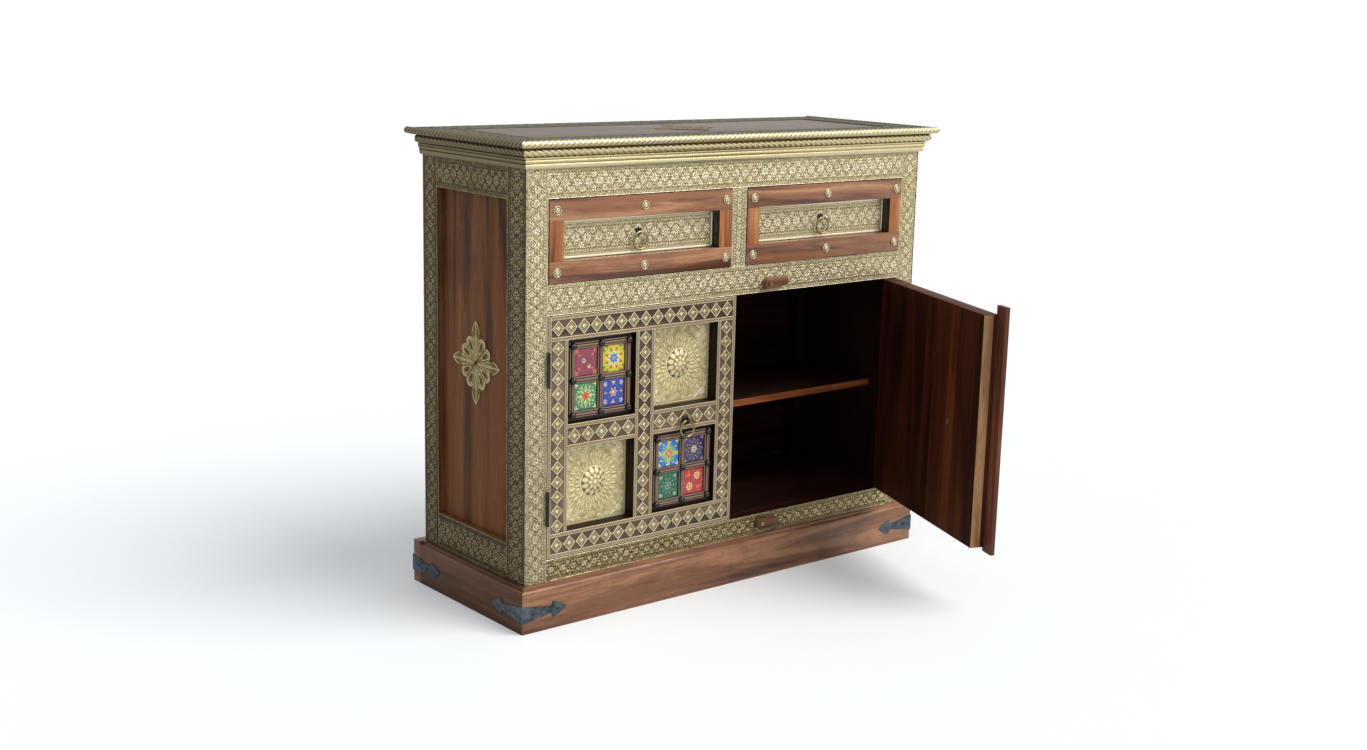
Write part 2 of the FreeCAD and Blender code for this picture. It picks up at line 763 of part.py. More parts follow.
door_bottom = door_opening_bottom + size.door_gap
door_top = door_opening_top - size.door_gap
door_near = size.meeting_gap / 2
door_far = post_inner - size.hinge_gap
door_front = -half_depth
lattice_back = door_front + size.lattice_thickness
door_frame_back = lattice_back + size.door_frame_thickness
door_back = door_frame_back + size.door_back_thickness
window_width = (door_far - door_near - size.door_member_width * 3) / 2
door_rail_height = size.total_height * DOOR_MEMBER_SHARE
window_height = (door_top - door_bottom - door_rail_height * 3) / 2
inner_window = (door_near + size.door_member_width, door_near + size.door_member_width + window_width)
outer_window = (inner_window[1] + size.door_member_width, door_far - size.door_member_width)
lower_window = (door_bottom + door_rail_height, door_bottom + door_rail_height + window_height)
upper_window = (lower_window[1] + door_rail_height, door_top - door_rail_height)


def window_of(side, column, row):
    """The X and the Z limits of one of a door's four windows."""
    across = inner_window if column == "inner" else outer_window
    return span(side, *across), (lower_window if row == "lower" else upper_window)


# Each door has tiles in one diagonal pair of windows and rosettes in the other
TILE_WINDOWS = (("outer", "upper"), ("inner", "lower"))
ROSETTE_WINDOWS = (("inner", "upper"), ("outer", "lower"))


def make_door_frame(side):
    """Stiles, rails and short muntins, with a back board."""
    deep = (lattice_back, door_frame_back)
    tall = (door_bottom, door_top)
    across = span(side, inner_window[0], outer_window[1])
    muntin = span(side, inner_window[1], outer_window[0])
    members = [
        block(f"{side}_door_meeting_stile", span(side, door_near, inner_window[0]), deep, tall),
        block(f"{side}_door_hinge_stile", span(side, outer_window[1], door_far), deep, tall),
        block(f"{side}_door_bottom_rail", across, deep, (door_bottom, lower_window[0])),
        block(f"{side}_door_middle_rail", across, deep, (lower_window[1], upper_window[0])),
        block(f"{side}_door_top_rail", across, deep, (upper_window[1], door_top)),
        block(f"{side}_door_lower_muntin", muntin, deep, lower_window),
        block(f"{side}_door_upper_muntin", muntin, deep, upper_window),
        block(f"{side}_door_back_board", span(side, door_near, door_far), (door_frame_back, door_back), tall),
    ]
    hang(side, f"{side}_door_frame", members)


def make_lattice(side):
    """Brass overlay of the door's face, open at the four windows."""
    deep = (door_front, lattice_back)
    outline = rectangle(span(side, door_near, door_far), (door_bottom, door_top))
    plate = slab(f"{side}_lattice_plate", "XZ_Plane", outline, *deep)
    windows = [
        rectangle(*window_of(side, column, row))
        for column in ("inner", "outer")
        for row in ("lower", "upper")
    ]
    hang(side, f"{side}_door_lattice", [pocketed(plate, "XZ_Plane", windows, *deep)])


def tile_window_frame(name, across, upright, seat_front):
    """The board behind a window's tiles, and the flat border round their bars."""
    (left, right), (low, high) = across, upright
    edge = size.tile_border_width
    deep = (seat_front - size.tile_border_thickness, seat_front)
    return [
        block(f"{name}_seat", across, (seat_front, door_frame_back), upright),
        block(f"{name}_left_border", (left, left + edge), deep, upright),
        block(f"{name}_right_border", (right - edge, right), deep, upright),
        block(f"{name}_lower_border", (left + edge, right - edge), deep, (low, low + edge)),
        block(f"{name}_upper_border", (left + edge, right - edge), deep, (high - edge, high)),
    ]


def make_tile_windows(side):
    """Two windows of four tiles each, between bars with a ball stud at every crossing."""
    tiles, bars, balls = [], [], []
    bar = size.tile_bar_width
    edge = size.tile_border_width
    ball = (size.ball_radius, size.ball_radius)
    seat_front = door_frame_back - size.tile_seat_thickness
    front = seat_front - size.tile_bar_thickness
    deep = (front, seat_front)
    tile_deep = (seat_front - size.tile_thickness, seat_front)
    joint = size.tile_joint
    for column, row in TILE_WINDOWS:
        across, upright = window_of(side, column, row)
        name = f"{side}_{row}"
        bars.extend(tile_window_frame(name, across, upright, seat_front))
        left, right = across[0] + edge, across[1] - edge
        low, high = upright[0] + edge, upright[1] - edge
        wide = (right - left - bar * 3) / 2
        tall = (high - low - bar * 3) / 2
        lefts = [left, left + bar + wide, right - bar]
        lows = [low, low + bar + tall, high - bar]
        for number, x in enumerate(lefts):
            bars.append(block(f"{name}_upright_bar_{number}", (x, x + bar), deep, (low, high)))
            for level, z in enumerate(lows):
                centre = (x + bar / 2, front, z + bar / 2)
                balls.append(dome(f"{name}_ball_{number}_{level}", *ball, centre, "front"))
        for number, x in enumerate(lefts[:2]):
            between = (x + bar, x + bar + wide)
            for level, z in enumerate(lows):
                bars.append(block(f"{name}_level_bar_{number}_{level}", between, deep, (z, z + bar)))
            between = (x + bar + joint, x + bar + wide - joint)
            for level, z in enumerate(lows[:2]):
                tile_z = (z + bar + joint, z + bar + tall - joint)
                tiles.append(block(f"{name}_tile_{number}_{level}", between, tile_deep, tile_z))
    hang(side, f"{side}_door_tiles", tiles)
    hang(side, f"{side}_door_tile_grids", bars + balls)


def make_rosette_panels(side):
    """Two brass panels, each with a domed rosette in the middle."""
    members = []
    panel_front = door_frame_back - size.skin_thickness
    for column, row in ROSETTE_WINDOWS:
        name = f"{side}_{row}_rosette"
        across, upright = window_of(side, column, row)
        sheet_metal = block(name + "_sheet", across, (panel_front, door_frame_back), upright)
        centre = ((across[0] + across[1]) / 2, panel_front, (upright[0] + upright[1]) / 2)
        boss = dome(name + "_boss", size.door_rosette_radius, size.door_rosette_rise, centre, "front")
        members.append(fused(name + "_panel", [sheet_metal, boss]))
    hang(side, f"{side}_door_rosettes", members)


def staple(name, x, surface, z):
    """A round boss with an eye in front of it, which a ring hangs in."""
    boss = dome(name + "_boss", size.boss_radius, size.boss_thickness, (x, surface, z), "front")
    eye_reach = size.ring_wire_radius + size.eye_clearance + size.eye_wire_radius
    eye_y = surface - size.eye_standoff
    eye = torus(name + "_eye", eye_reach, size.eye_wire_radius, (x, eye_y, z), "x")
    shank_start = (x, eye_y + eye_reach, z)
    shank = cylinder(name + "_shank", size.eye_wire_radius, size.eye_standoff - eye_reach, shank_start, "y")
    return fused(name, [boss, shank, eye])


def pull(name, x, surface, z):
    """A ring that hangs in its staple's eye."""
    centre = (x, surface - size.eye_standoff, z - size.ring_reach)
    return torus(name, size.ring_reach, size.ring_wire_radius, centre, "y")


def knuckle(name, x, low, high, reach):
    """A hinge knuckle on the pin's axis."""
    return cylinder(name, reach, high - low, (x, pin_y, low), "z")


def hinge_places():
    """The low ends of a door's two hinges."""
    return {
        "lower": door_bottom + size.hinge_edge_distance,
        "upper": door_top - size.hinge_edge_distance - size.hinge_height,
    }


def carcass_leaf(side, level, low):
    """The leaf on the post, with its two outer knuckles and the pin."""
    name = f"{side}_{level}_carcass"
    high = low + size.hinge_height
    end = (size.hinge_height - size.middle_knuckle_height) / 2
    x = outward(side, pin_x)
    leaf_y = (pin_y, pin_y + size.knuckle_proud + size.hinge_leaf_depth)
    leaf_x = span(side, post_inner - size.hinge_leaf_thickness, post_inner)
    plate = block(name + "_plate", leaf_x, leaf_y, (low, high))
    clear = size.knuckle_radius + size.knuckle_clearance
    middle = (low + end - size.knuckle_clearance, high - end + size.knuckle_clearance)
    room = knuckle(name + "_room", x, *middle, clear)
    return fused(name, [
        cut(name + "_leaf", plate, room),
        knuckle(name + "_lower_knuckle", x, low, low + end, size.knuckle_radius),
        knuckle(name + "_upper_knuckle", x, high - end, high, size.knuckle_radius),
        knuckle(name + "_pin", x, low, high, size.pin_radius),
    ])


def door_leaf(side, level, low):
    """The leaf on the door's edge, with the middle knuckle."""
    name = f"{side}_{level}_leaf"
    high = low + size.hinge_height
    end = (size.hinge_height - size.middle_knuckle_height) / 2
    gap = size.knuckle_clearance
    x = outward(side, pin_x)
    leaf_y = (pin_y, pin_y + size.knuckle_proud + size.hinge_leaf_depth)
    leaf_x = span(side, door_far, door_far + size.hinge_leaf_thickness)
    plate = block(name + "_plate", leaf_x, leaf_y, (low, high))
    clear = size.knuckle_radius + gap
    low_room = knuckle(name + "_low_room", x, low - size.overrun, low + end + gap, clear)
    high_room = knuckle(name + "_high_room", x, high - end - gap, high + size.overrun, clear)
    plate = cut(name + "_clear", cut(name + "_low_clear", plate, low_room), high_room)
    barrel = knuckle(name + "_knuckle", x, low + end + gap, high - end - gap, size.knuckle_radius)
    joined = fused(name + "_joined", [plate, barrel])
    bore_radius = size.pin_radius + size.pin_clearance
    bore = knuckle(name + "_bore", x, low - size.overrun, high + size.overrun, bore_radius)
    return cut(name, joined, bore)


def make_door_iron(side):
    """The door's hinge leaves and its staple, and the ring in it."""
    members = [door_leaf(side, level, low) for level, low in hinge_places().items()]
    x = outward(side, (inner_window[0] + inner_window[1]) / 2)
    z = (lower_window[1] + upper_window[0]) / 2 - size.door_eye_drop
    members.append(staple(f"{side}_door_staple", x, door_front, z))
    hang(side, f"{side}_door_ironwork", members)
    hang(side, f"{side}_door_ring", [pull(f"{side}_door_ring_wire", x, door_front, z)])


def make_doors():
    """Both doors, and the cover strip on the right one."""
    for side in ("left", "right"):
        make_door_frame(side)
        make_lattice(side)
        make_tile_windows(side)
        make_rosette_panels(side)
        make_door_iron(side)
    strip_edge = door_near - size.strip_overlap
    strip_x = (strip_edge, strip_edge + size.strip_width)
    strip_back = door_front - size.strip_clearance
    strip_z = (door_bottom - size.strip_drop, door_top + size.strip_rise)
    strip = block("strip_length", strip_x, (door_front - size.strip_thickness, strip_back), strip_z)
    seat = block("strip_seat", (door_near, strip_x[1]), (strip_back, door_front), (door_bottom, door_top))
    finish(on_open_door(fused("right_door_cover_strip", [strip, seat])))
    finish(group("carcass_hinge_leaves", [
        carcass_leaf(side, level, low)
        for side in ("left", "right")
        for level, low in hinge_places().items()
    ]))


def make_drawer(side):
    """Box, applied frame, brass panel, studs with the staple, and the ring."""
    near = size.divider_width / 2 + size.drawer_gap
    far = post_inner - size.drawer_gap
    low = drawer_opening_bottom + size.drawer_gap
    high = drawer_opening_top - size.drawer_gap
    face = -half_depth - size.drawer_proud
    frame_back = face + size.drawer_frame_thickness
    deep = (face, frame_back)
    inner = (near + size.drawer_stile_width, far - size.drawer_stile_width)
    rail_height = size.total_height * DRAWER_RAIL_SHARE
    mid = (low + rail_height, high - rail_height)
    finish(group(f"{side}_drawer_frame", [
        block(f"{side}_drawer_lower_rail", span(side, near, far), deep, (low, mid[0])),
        block(f"{side}_drawer_upper_rail", span(side, near, far), deep, (mid[1], high)),
        block(f"{side}_drawer_inner_stile", span(side, near, inner[0]), deep, mid),
        block(f"{side}_drawer_outer_stile", span(side, inner[1], far), deep, mid),
    ]))
    panel_front = frame_back - size.skin_thickness
    finish(block(f"{side}_drawer_panel", span(side, *inner), (panel_front, frame_back), mid))
    columns = ((near + inner[0]) / 2, (near + far) / 2, (inner[1] + far) / 2)
    rows = ((low + mid[0]) / 2, (mid[1] + high) / 2)
    studs = [
        dome(
            f"{side}_drawer_stud_{row}_{column}",
            size.stud_radius,
            size.stud_rise,
            (outward(side, x), face, z),
            "front",
        )
        for row, z in enumerate(rows)
        for column, x in enumerate(columns)
    ]
    centre_x = outward(side, columns[1])
    ring_low = mid[0] + size.drawer_ring_clearance
    eye_z = ring_low + size.ring_wire_radius + size.ring_reach * 2
    studs.append(staple(f"{side}_drawer_staple", centre_x, panel_front, eye_z))
    finish(group(f"{side}_drawer_studs", studs))
    finish(pull(f"{side}_drawer_ring", centre_x, panel_front, eye_z))
    make_drawer_box(side, (near, far), (low, high), frame_back)


def make_drawer_box(side, width, height, front):
    """The box behind a drawer's face: a front board, two sides, a back and a bottom."""
    near, far = width
    thick = size.drawer_side_thickness
    board_back = front + size.drawer_front_thickness
    box_back = back_rail_front - size.drawer_back_clearance
    floor = drawer_opening_bottom + size.runner_clearance
    bottom = floor + size.drawer_bottom_rise
    top = floor + size.drawer_side_height
    deep = (board_back, box_back)
    inside = span(side, near + thick, far - thick)
    bottom_z = (bottom, bottom + size.drawer_bottom_thickness)
    finish(group(f"{side}_drawer_box", [
        block(f"{side}_drawer_front_board", span(side, near, far), (front, board_back), height),
        block(f"{side}_drawer_inner_side", span(side, near, near + thick), deep, (floor, top)),
        block(f"{side}_drawer_outer_side", span(side, far - thick, far), deep, (floor, top)),
        block(f"{side}_drawer_back", inside, (box_back - thick, box_back), (bottom, top)),
        block(f"{side}_drawer_bottom", inside, (board_back, box_back - thick), bottom_z),
    ]))


def button_outline(z, toward_opening):
    """A turn button: a round end about its screw, and a tail that narrows along the edge by the door."""
    radius = size.button_end_radius
    x = size.button_centre
    tail = x + size.button_tail_length
    drop = radius * toward_opening
    return [
        (x, z - drop),
        (tail, z - drop + size.button_tail_height * (toward_opening * BUTTON_TAPER_SHARE)),
        (tail, z + drop),
        (x, z + drop),
    ]


def make_button(name, z, toward_opening):
    """A wooden turn button and the screw that it turns on."""
    back = -half_depth - size.button_standoff
    front = back - size.button_thickness
    round_end = {3: HALF_ROUND_SHARE * toward_opening}
    body = slab(name + "_blank", "XZ_Plane", button_outline(z, toward_opening), front, back, round_end)
    hole = cylinder(
        name + "_hole",
        size.screw_radius + size.screw_clearance,
        size.button_thickness + size.overrun * 2,
        (size.button_centre, front - size.overrun, z),
        "y",
    )
    finish(cut(name, body, hole))
    head_back = front - size.button_standoff
    centre = (size.button_centre, head_back, z)
    shank = cylinder(name + "_shank", size.screw_radius, -half_depth - head_back, centre, "y")
    centre = (size.button_centre, head_back - size.screw_head_thickness, z)
    head = cylinder(name + "_head", size.screw_head_radius, size.screw_head_thickness, centre, "y")
    return fused(name + "_screw", [shank, head])


def make_buttons():
    """The two turn buttons that hold the right door shut."""
    screws = [
        make_button("upper_turn_button", door_opening_top + size.button_edge_distance, 1),
        make_button("lower_turn_button", door_opening_bottom - size.button_edge_distance, -1),
    ]
    finish(group("button_screws", screws))


make_plinth()
make_straps()
make_frame()
make_inside()
make_top()
make_cladding()
make_doors()
make_drawer("left")
make_drawer("right")
make_buttons()
doc.recompute()

for piece in doc.Objects:
    if {"Invalid", "Error"} & set(piece.State):
        raise RuntimeError(f"{piece.Name} failed: {piece.State}")
for piece in finished:
    if piece.Shape.isNull() or not piece.Shape.isValid() or not piece.Shape.Solids:
        raise RuntimeError(f"{piece.Label} has no valid solid")
for piece in finished:
    piece.Shape.exportStep(f"parts/{piece.Label}.step")
    print(f"{piece.Label}: {len(piece.Shape.Solids)} solids, {piece.Shape.Volume:.0f} mm3")
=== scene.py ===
"""Looks of the brass-clad cabinet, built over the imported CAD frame.

Working sizes are in millimetres; make_piece turns them into metres.
Door pieces are drawn for a closed door, and the right door's are then swung open.
"""
import math

import bmesh
import bpy
import numpy as np
from mathutils import Matrix, Vector
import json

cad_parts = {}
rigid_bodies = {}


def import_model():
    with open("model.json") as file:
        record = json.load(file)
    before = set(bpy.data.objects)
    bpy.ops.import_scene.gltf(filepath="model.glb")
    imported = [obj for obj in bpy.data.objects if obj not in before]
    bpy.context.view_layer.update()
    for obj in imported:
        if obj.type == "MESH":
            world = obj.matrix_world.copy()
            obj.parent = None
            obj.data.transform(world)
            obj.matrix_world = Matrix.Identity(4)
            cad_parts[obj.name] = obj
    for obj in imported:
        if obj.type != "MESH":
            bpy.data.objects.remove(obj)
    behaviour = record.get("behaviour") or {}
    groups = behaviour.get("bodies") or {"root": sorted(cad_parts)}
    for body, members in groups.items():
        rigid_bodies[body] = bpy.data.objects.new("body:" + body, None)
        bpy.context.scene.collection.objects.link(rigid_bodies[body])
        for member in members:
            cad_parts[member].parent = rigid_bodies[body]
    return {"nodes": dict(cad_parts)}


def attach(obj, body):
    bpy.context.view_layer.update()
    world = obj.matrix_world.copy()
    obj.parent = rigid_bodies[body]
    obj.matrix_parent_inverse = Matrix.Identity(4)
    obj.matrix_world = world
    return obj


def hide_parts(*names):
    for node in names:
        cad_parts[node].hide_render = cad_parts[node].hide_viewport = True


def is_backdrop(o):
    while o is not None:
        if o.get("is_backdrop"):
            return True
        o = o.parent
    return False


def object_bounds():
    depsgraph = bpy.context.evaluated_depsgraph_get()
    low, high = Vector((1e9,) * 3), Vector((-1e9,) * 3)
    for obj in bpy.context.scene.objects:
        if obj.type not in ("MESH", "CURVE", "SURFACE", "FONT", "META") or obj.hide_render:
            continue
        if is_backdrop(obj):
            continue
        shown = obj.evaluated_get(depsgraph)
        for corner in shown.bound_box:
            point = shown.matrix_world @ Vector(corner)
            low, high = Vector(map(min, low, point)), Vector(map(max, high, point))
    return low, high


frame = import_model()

for stray in [o for o in bpy.data.objects if o.name in ("Cube", "Camera", "Light")]:
    bpy.data.objects.remove(stray)
CAD_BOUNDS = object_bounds()

MM = 0.001
RANDOM = np.random.default_rng(4207)

# Body
HALF_WIDTH = 496.0
HALF_DEPTH = 175.0
SKIN = 1.6
PLINTH_TOP = 86.0
BODY_TOP = 849.0
POST_INNER = 449.5
SIDE_POST_FRONT = -113.0
SIDE_POST_BACK = 125.0
SIDE_PANEL_LOW = 153.0
SIDE_PANEL_HIGH = 791.0
SIDE_PANEL_FACE = 484.0
DIVIDER_HALF = 18.0
DRAWER_LOW = 641.0
DRAWER_HIGH = 795.0
DOOR_LOW = 127.0
DOOR_HIGH = 585.0
TOP_FACE = 896.75
TOP_BACK = 193.0
BORDER_HALF_X = 510.5
BORDER_HALF_Y = 189.5
BORDER_WIDTH = 66.0
# Front edge of the shelf, a skin in the lit copy of the shelf's wood
SHELF_LIT_EDGE = ((-472.0, -85.3, 332.6), (472.0, -85.0, 346.4))
RELIEF = 1.35

# Drawers
DRAWER_MIDDLE = 233.75
DRAWER_RING_Z = 723.0
DRAWER_FRONT = -177.0
DRAWER_PANEL = -156.0
DRAWER_BRASS_LOW = 682.0
DRAWER_BRASS_HIGH = 754.0
DRAWER_BRASS_SPAN = (51.5, 416.0)
DRAWER_STUD_X = (35.5, DRAWER_MIDDLE, 432.0)
DRAWER_STUD_Z = (662.25, 773.75)
DRAWER_BOSS = -157.4

# Doors
DOOR_NEAR = 1.1
DOOR_FAR = 447.5
LATTICE_LOW = 128.5
LATTICE_HIGH = 583.5
STILE = 45.0
RAIL = 47.0
WINDOW_SPANS = ((46.1, 201.8), (246.8, 402.5))
WINDOW_ROWS = ((175.5, 332.5), (379.5, 536.5))
LATTICE_FACE = -172.6
LATTICE_BACK = -173.3
LATTICE_EDGE = 8.0
DOOR_BOSS = -174.9
DOOR_RING_X = 123.95
DOOR_RING_Z = 351.0
DOOR_BACK = -144.0
SUN_FACE = -148.0
TILE_SEAT = -159.0
TILE_BORDER = 7.4
BAR_WIDTH = 13.0
SUN_RADIUS = 28.0
SUN_HALF_X = 77.85
SUN_HALF_Z = 78.5
HINGE = (448.5, -178.6)
OPEN_ANGLE = math.radians(69.0)


def srgb(red, green, blue):
    """A colour written as 0 to 255 values, as Blender's linear values."""
    parts = []
    for value in (red, green, blue):
        share = value / 255.0
        parts.append(share / 12.92 if share <= 0.04045 else ((share + 0.055) / 1.055) ** 2.4)
    return (*parts, 1.0)


# ---------------------------------------------------------------- mesh making


class Shape:
    """Corners, faces and values per corner, gathered for one piece."""

    def __init__(self):
        self.corners = []
        self.faces = []
        self.values = {}
        self.count = 0

    def add(self, corners, faces, **values):
        corners = np.asarray(corners, float).reshape(-1, 3)
        for block in faces:
            block = np.asarray(block, int)
            if len(block):
                self.faces.append(block + self.count)
        for name in set(self.values) | set(values):
            stored = self.values.setdefault(name, [])
            given = values.get(name, 0.0)
            wide = np.asarray(given, float)
            if wide.ndim == 0:
                wide = np.full(len(corners), float(given))
            held = sum(len(part) for part in stored)
            if held < self.count:
                shape = (self.count - held, *wide.shape[1:])
                stored.append(np.zeros(shape))
            stored.append(wide.reshape(len(corners), *wide.shape[1:]))
        self.corners.append(corners)
        self.count += len(corners)

    def all_corners(self):
        return np.concatenate(self.corners)


def swung(points, back=False):
    """Points of the closed right door, swung to where it stands open, or back again."""
    angle = -OPEN_ANGLE if back else OPEN_ANGLE
    cos, sin = math.cos(angle), math.sin(angle)
    moved = np.array(points, float)
    x = moved[:, 0] - HINGE[0]
    y = moved[:, 1] - HINGE[1]
    moved[:, 0] = HINGE[0] + cos * x - sin * y
    moved[:, 1] = HINGE[1] + sin * x + cos * y
    return moved


def make_piece(name, shape, body, slot, material, stands_for=(), sharp=40.0, is_open=False, clean=False):
    """Turns a shape into an object that rides on a CAD body."""
    corners = shape.all_corners()
    if is_open:
        corners = swung(corners)
    mesh = bpy.data.meshes.new(name)
    mesh.vertices.add(len(corners))
    mesh.vertices.foreach_set("co", (corners * MM).ravel())
    sizes = np.concatenate([np.full(len(block), block.shape[1]) for block in shape.faces])
    loops = np.concatenate([block.ravel() for block in shape.faces])
    mesh.loops.add(len(loops))
    mesh.loops.foreach_set("vertex_index", loops)
    mesh.polygons.add(len(sizes))
    mesh.polygons.foreach_set("loop_start", np.concatenate([[0], np.cumsum(sizes)[:-1]]))
    mesh.update(calc_edges=True)
    for key, parts in shape.values.items():
        data = np.concatenate(parts)
        kind, field = {1: ("FLOAT", "value"), 3: ("FLOAT_VECTOR", "vector"), 4: ("FLOAT_COLOR", "color")}[
            1 if data.ndim == 1 else data.shape[1]
        ]
        attribute = mesh.attributes.new(key, kind, "POINT")
        attribute.data.foreach_set(field, data.astype(np.float32).ravel())
    mesh.validate()
    if clean:
        work = bmesh.new()
        work.from_mesh(mesh)
        bmesh.ops.remove_doubles(work, verts=work.verts, dist=2e-6)
        bmesh.ops.dissolve_degenerate(work, edges=work.edges, dist=1e-6)
        work.to_mesh(mesh)
        work.free()
    mesh.polygons.foreach_set("use_smooth", np.ones(len(mesh.polygons), bool))
    if sharp:
        mesh.set_sharp_from_angle(angle=math.radians(sharp))
    piece = bpy.data.objects.new(name, mesh)
    bpy.context.scene.collection.objects.link(piece)
    mesh.materials.append(material)
    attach(piece, body)
    if stands_for:
        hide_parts(*stands_for)


def make_embossed(name, shape, body, material, node, is_open=False, clean=False):
    """A brass relief, shaded smoothly all over, that stands for a CAD node."""
    make_piece(name, shape, body, "embossed_brass", material, [node], 0, is_open, clean)


def dress(node, material):
    """Puts a material on a CAD node that shows as it is."""
    slots = frame["nodes"][node].data.materials
    slots.clear()
    slots.append(material)


def sheet_faces(rows, columns, wrap_columns=False, flip=False):
    """Four-sided faces over a grid of rows by columns of corners."""
    index = np.arange(rows * columns).reshape(rows, columns)
    if wrap_columns:
        index = np.hstack([index, index[:, :1]])
    quads = np.stack([index[:-1, :-1], index[1:, :-1], index[1:, 1:], index[:-1, 1:]], -1).reshape(-1, 4)
    return quads[:, ::-1] if flip else quads


class Face:
    """A flat face of the cabinet: u and v run along it and h stands out of it."""

    def __init__(self, origin, u, v):
        self.origin = np.array(origin, float)
        self.u = np.array(u, float)
        self.v = np.array(v, float)
        self.out = np.cross(self.u, self.v)

    def place(self, u, v, h):
        u, v, h = np.broadcast_arrays(u, v, h)
        return self.origin + u[..., None] * self.u + v[..., None] * self.v + h[..., None] * self.out


def front_face(x, y, z):
    """A face that looks to the front, from a point on."""
    return Face((x, y, z), (1, 0, 0), (0, 0, 1))


FRONT = front_face(0, -(HALF_DEPTH - SKIN), 0)
LEFT = Face((-(HALF_WIDTH - SKIN), 0, 0), (0, -1, 0), (0, 0, 1))
RIGHT = Face((HALF_WIDTH - SKIN, 0, 0), (0, 1, 0), (0, 0, 1))
TOP = Face((0, 0, TOP_FACE), (1, 0, 0), (0, 1, 0))
SIDES = ((-1, "left", LEFT), (1, "right", RIGHT))


def relief_sheet(shape, face, u_range, v_range, height, cell, ground=0.6, trims=None):
    """A thin embossed sheet with its edges turned down onto what carries it.

    height(u, v) gives the relief over the sheet's ground. trims(u, v) may pull u and v in at a mitre.
    """
    across = max(2, int(round((u_range[1] - u_range[0]) / cell)) + 1)
    up = max(2, int(round((v_range[1] - v_range[0]) / cell)) + 1)
    uu, vv = np.meshgrid(np.linspace(*u_range, across), np.linspace(*v_range, up), indexing="ij")
    uu, vv, relief = (np.pad(values, 1, mode="edge") for values in (uu, vv, height(uu, vv)))
    level = relief + ground
    for values in (level, relief):
        values[[0, -1], :] = 0.0
        values[:, [0, -1]] = 0.0
    if trims:
        uu, vv = trims(uu, vv)
    graded = np.clip(relief / RELIEF, 0, 1).ravel()
    shape.add(face.place(uu, vv, level), [sheet_faces(across + 2, up + 2)], relief=graded)
    return shape


def lathe(shape, profile, sides, place, **values):
    """Turns (radius, height) points round an axis; place maps (a, b, h) arrays to corners."""
    radii = np.array([p[0] for p in profile], float)
    heights = np.array([p[1] for p in profile], float)
    angles = np.arange(sides) * 2 * math.pi / sides
    a = radii[:, None] * np.cos(angles)
    b = radii[:, None] * np.sin(angles)
    h = np.repeat(heights[:, None], sides, 1)
    filled = {}
    for name, given in values.items():
        given = np.asarray(given, float)
        filled[name] = np.repeat(given, sides) if given.ndim else given
    shape.add(place(a, b, h), [sheet_faces(len(profile), sides, wrap_columns=True)], **filled)
    return shape


def at(face, u, v, h=0.0):
    """Places a lathe's points on a face, about (u, v)."""
    return lambda a, b, c: face.place(a + u, b + v, c + h)


def noise_field(x, y, scale, seed):
    """Smooth random field of about -1 to 1, from a seeded lattice."""
    lattice = np.random.default_rng(seed).uniform(-1, 1, (64, 64))
    gx, gy = x / scale, y / scale
    ix, iy = np.floor(gx).astype(int), np.floor(gy).astype(int)
    fx, fy = gx - ix, gy - iy
    fx, fy = fx * fx * (3 - 2 * fx), fy * fy * (3 - 2 * fy)
    near = lattice[ix % 64, iy % 64] * (1 - fx) + lattice[(ix + 1) % 64, iy % 64] * fx
    far = lattice[ix % 64, (iy + 1) % 64] * (1 - fx) + lattice[(ix + 1) % 64, (iy + 1) % 64] * fx
    return near * (1 - fy) + far * fy


# ---------------------------------------------------------------- embossing


def dome(distance, radius):
    """Height of a round swelling, 1 at its middle and 0 from its radius on."""
    return np.sqrt(np.clip(1 - (distance / radius) ** 2, 0, 1))


def leaf(x, y, angle, length, width):
    """A pointed leaf from the origin along an angle, with a pressed vein."""
    along = x * np.cos(angle) + y * np.sin(angle)
    off = -x * np.sin(angle) + y * np.cos(angle)
    share = np.clip(along / length, 0, 1)
    half = width * np.sin(np.pi * share ** 0.75) + 1e-6
    inside = (along > 0) & (along < length)
    swell = dome(off, half) * inside
    return swell * (1 - 0.45 * np.exp(-(off / 0.5) ** 2))


def flower(x, y, radius, petals):
    """A round flower: hub, ring and a crown of petals."""
    rho = np.hypot(x, y)
    lobe = np.abs(np.cos(petals / 2 * np.arctan2(y, x)))
    edge = radius * (0.74 + 0.26 * lobe ** 0.7)
    ring = np.clip((edge - rho) / (0.16 * radius), 0, 1)
    body = (rho > radius * 0.34) * ring * (0.45 + 0.55 * lobe ** 0.6)
    vein = 1 - 0.4 * np.exp(-((1 - lobe) / 0.03) ** 2)
    hub = dome(rho, radius * 0.27) * 1.1
    return np.maximum(body * vein, hub)


def stipple(x, y, pitch=2.6, seed=5, size=0.42):
    """A punched ground of small dots, their radius a share of the pitch."""
    row = np.floor(y / pitch)
    shift = (row % 2) * pitch / 2
    column = np.floor((x + shift) / pitch)
    jitter = np.random.default_rng(seed).uniform(-0.35, 0.35, (2, 97, 89))
    jx = jitter[0][column.astype(int) % 97, row.astype(int) % 89]
    jy = jitter[1][column.astype(int) % 97, row.astype(int) % 89]
    dx = (x + shift) - (column + 0.5 + jx * 0.4) * pitch
    dy = y - (row + 0.5 + jy * 0.4) * pitch
    return dome(np.hypot(dx, dy), pitch * size)


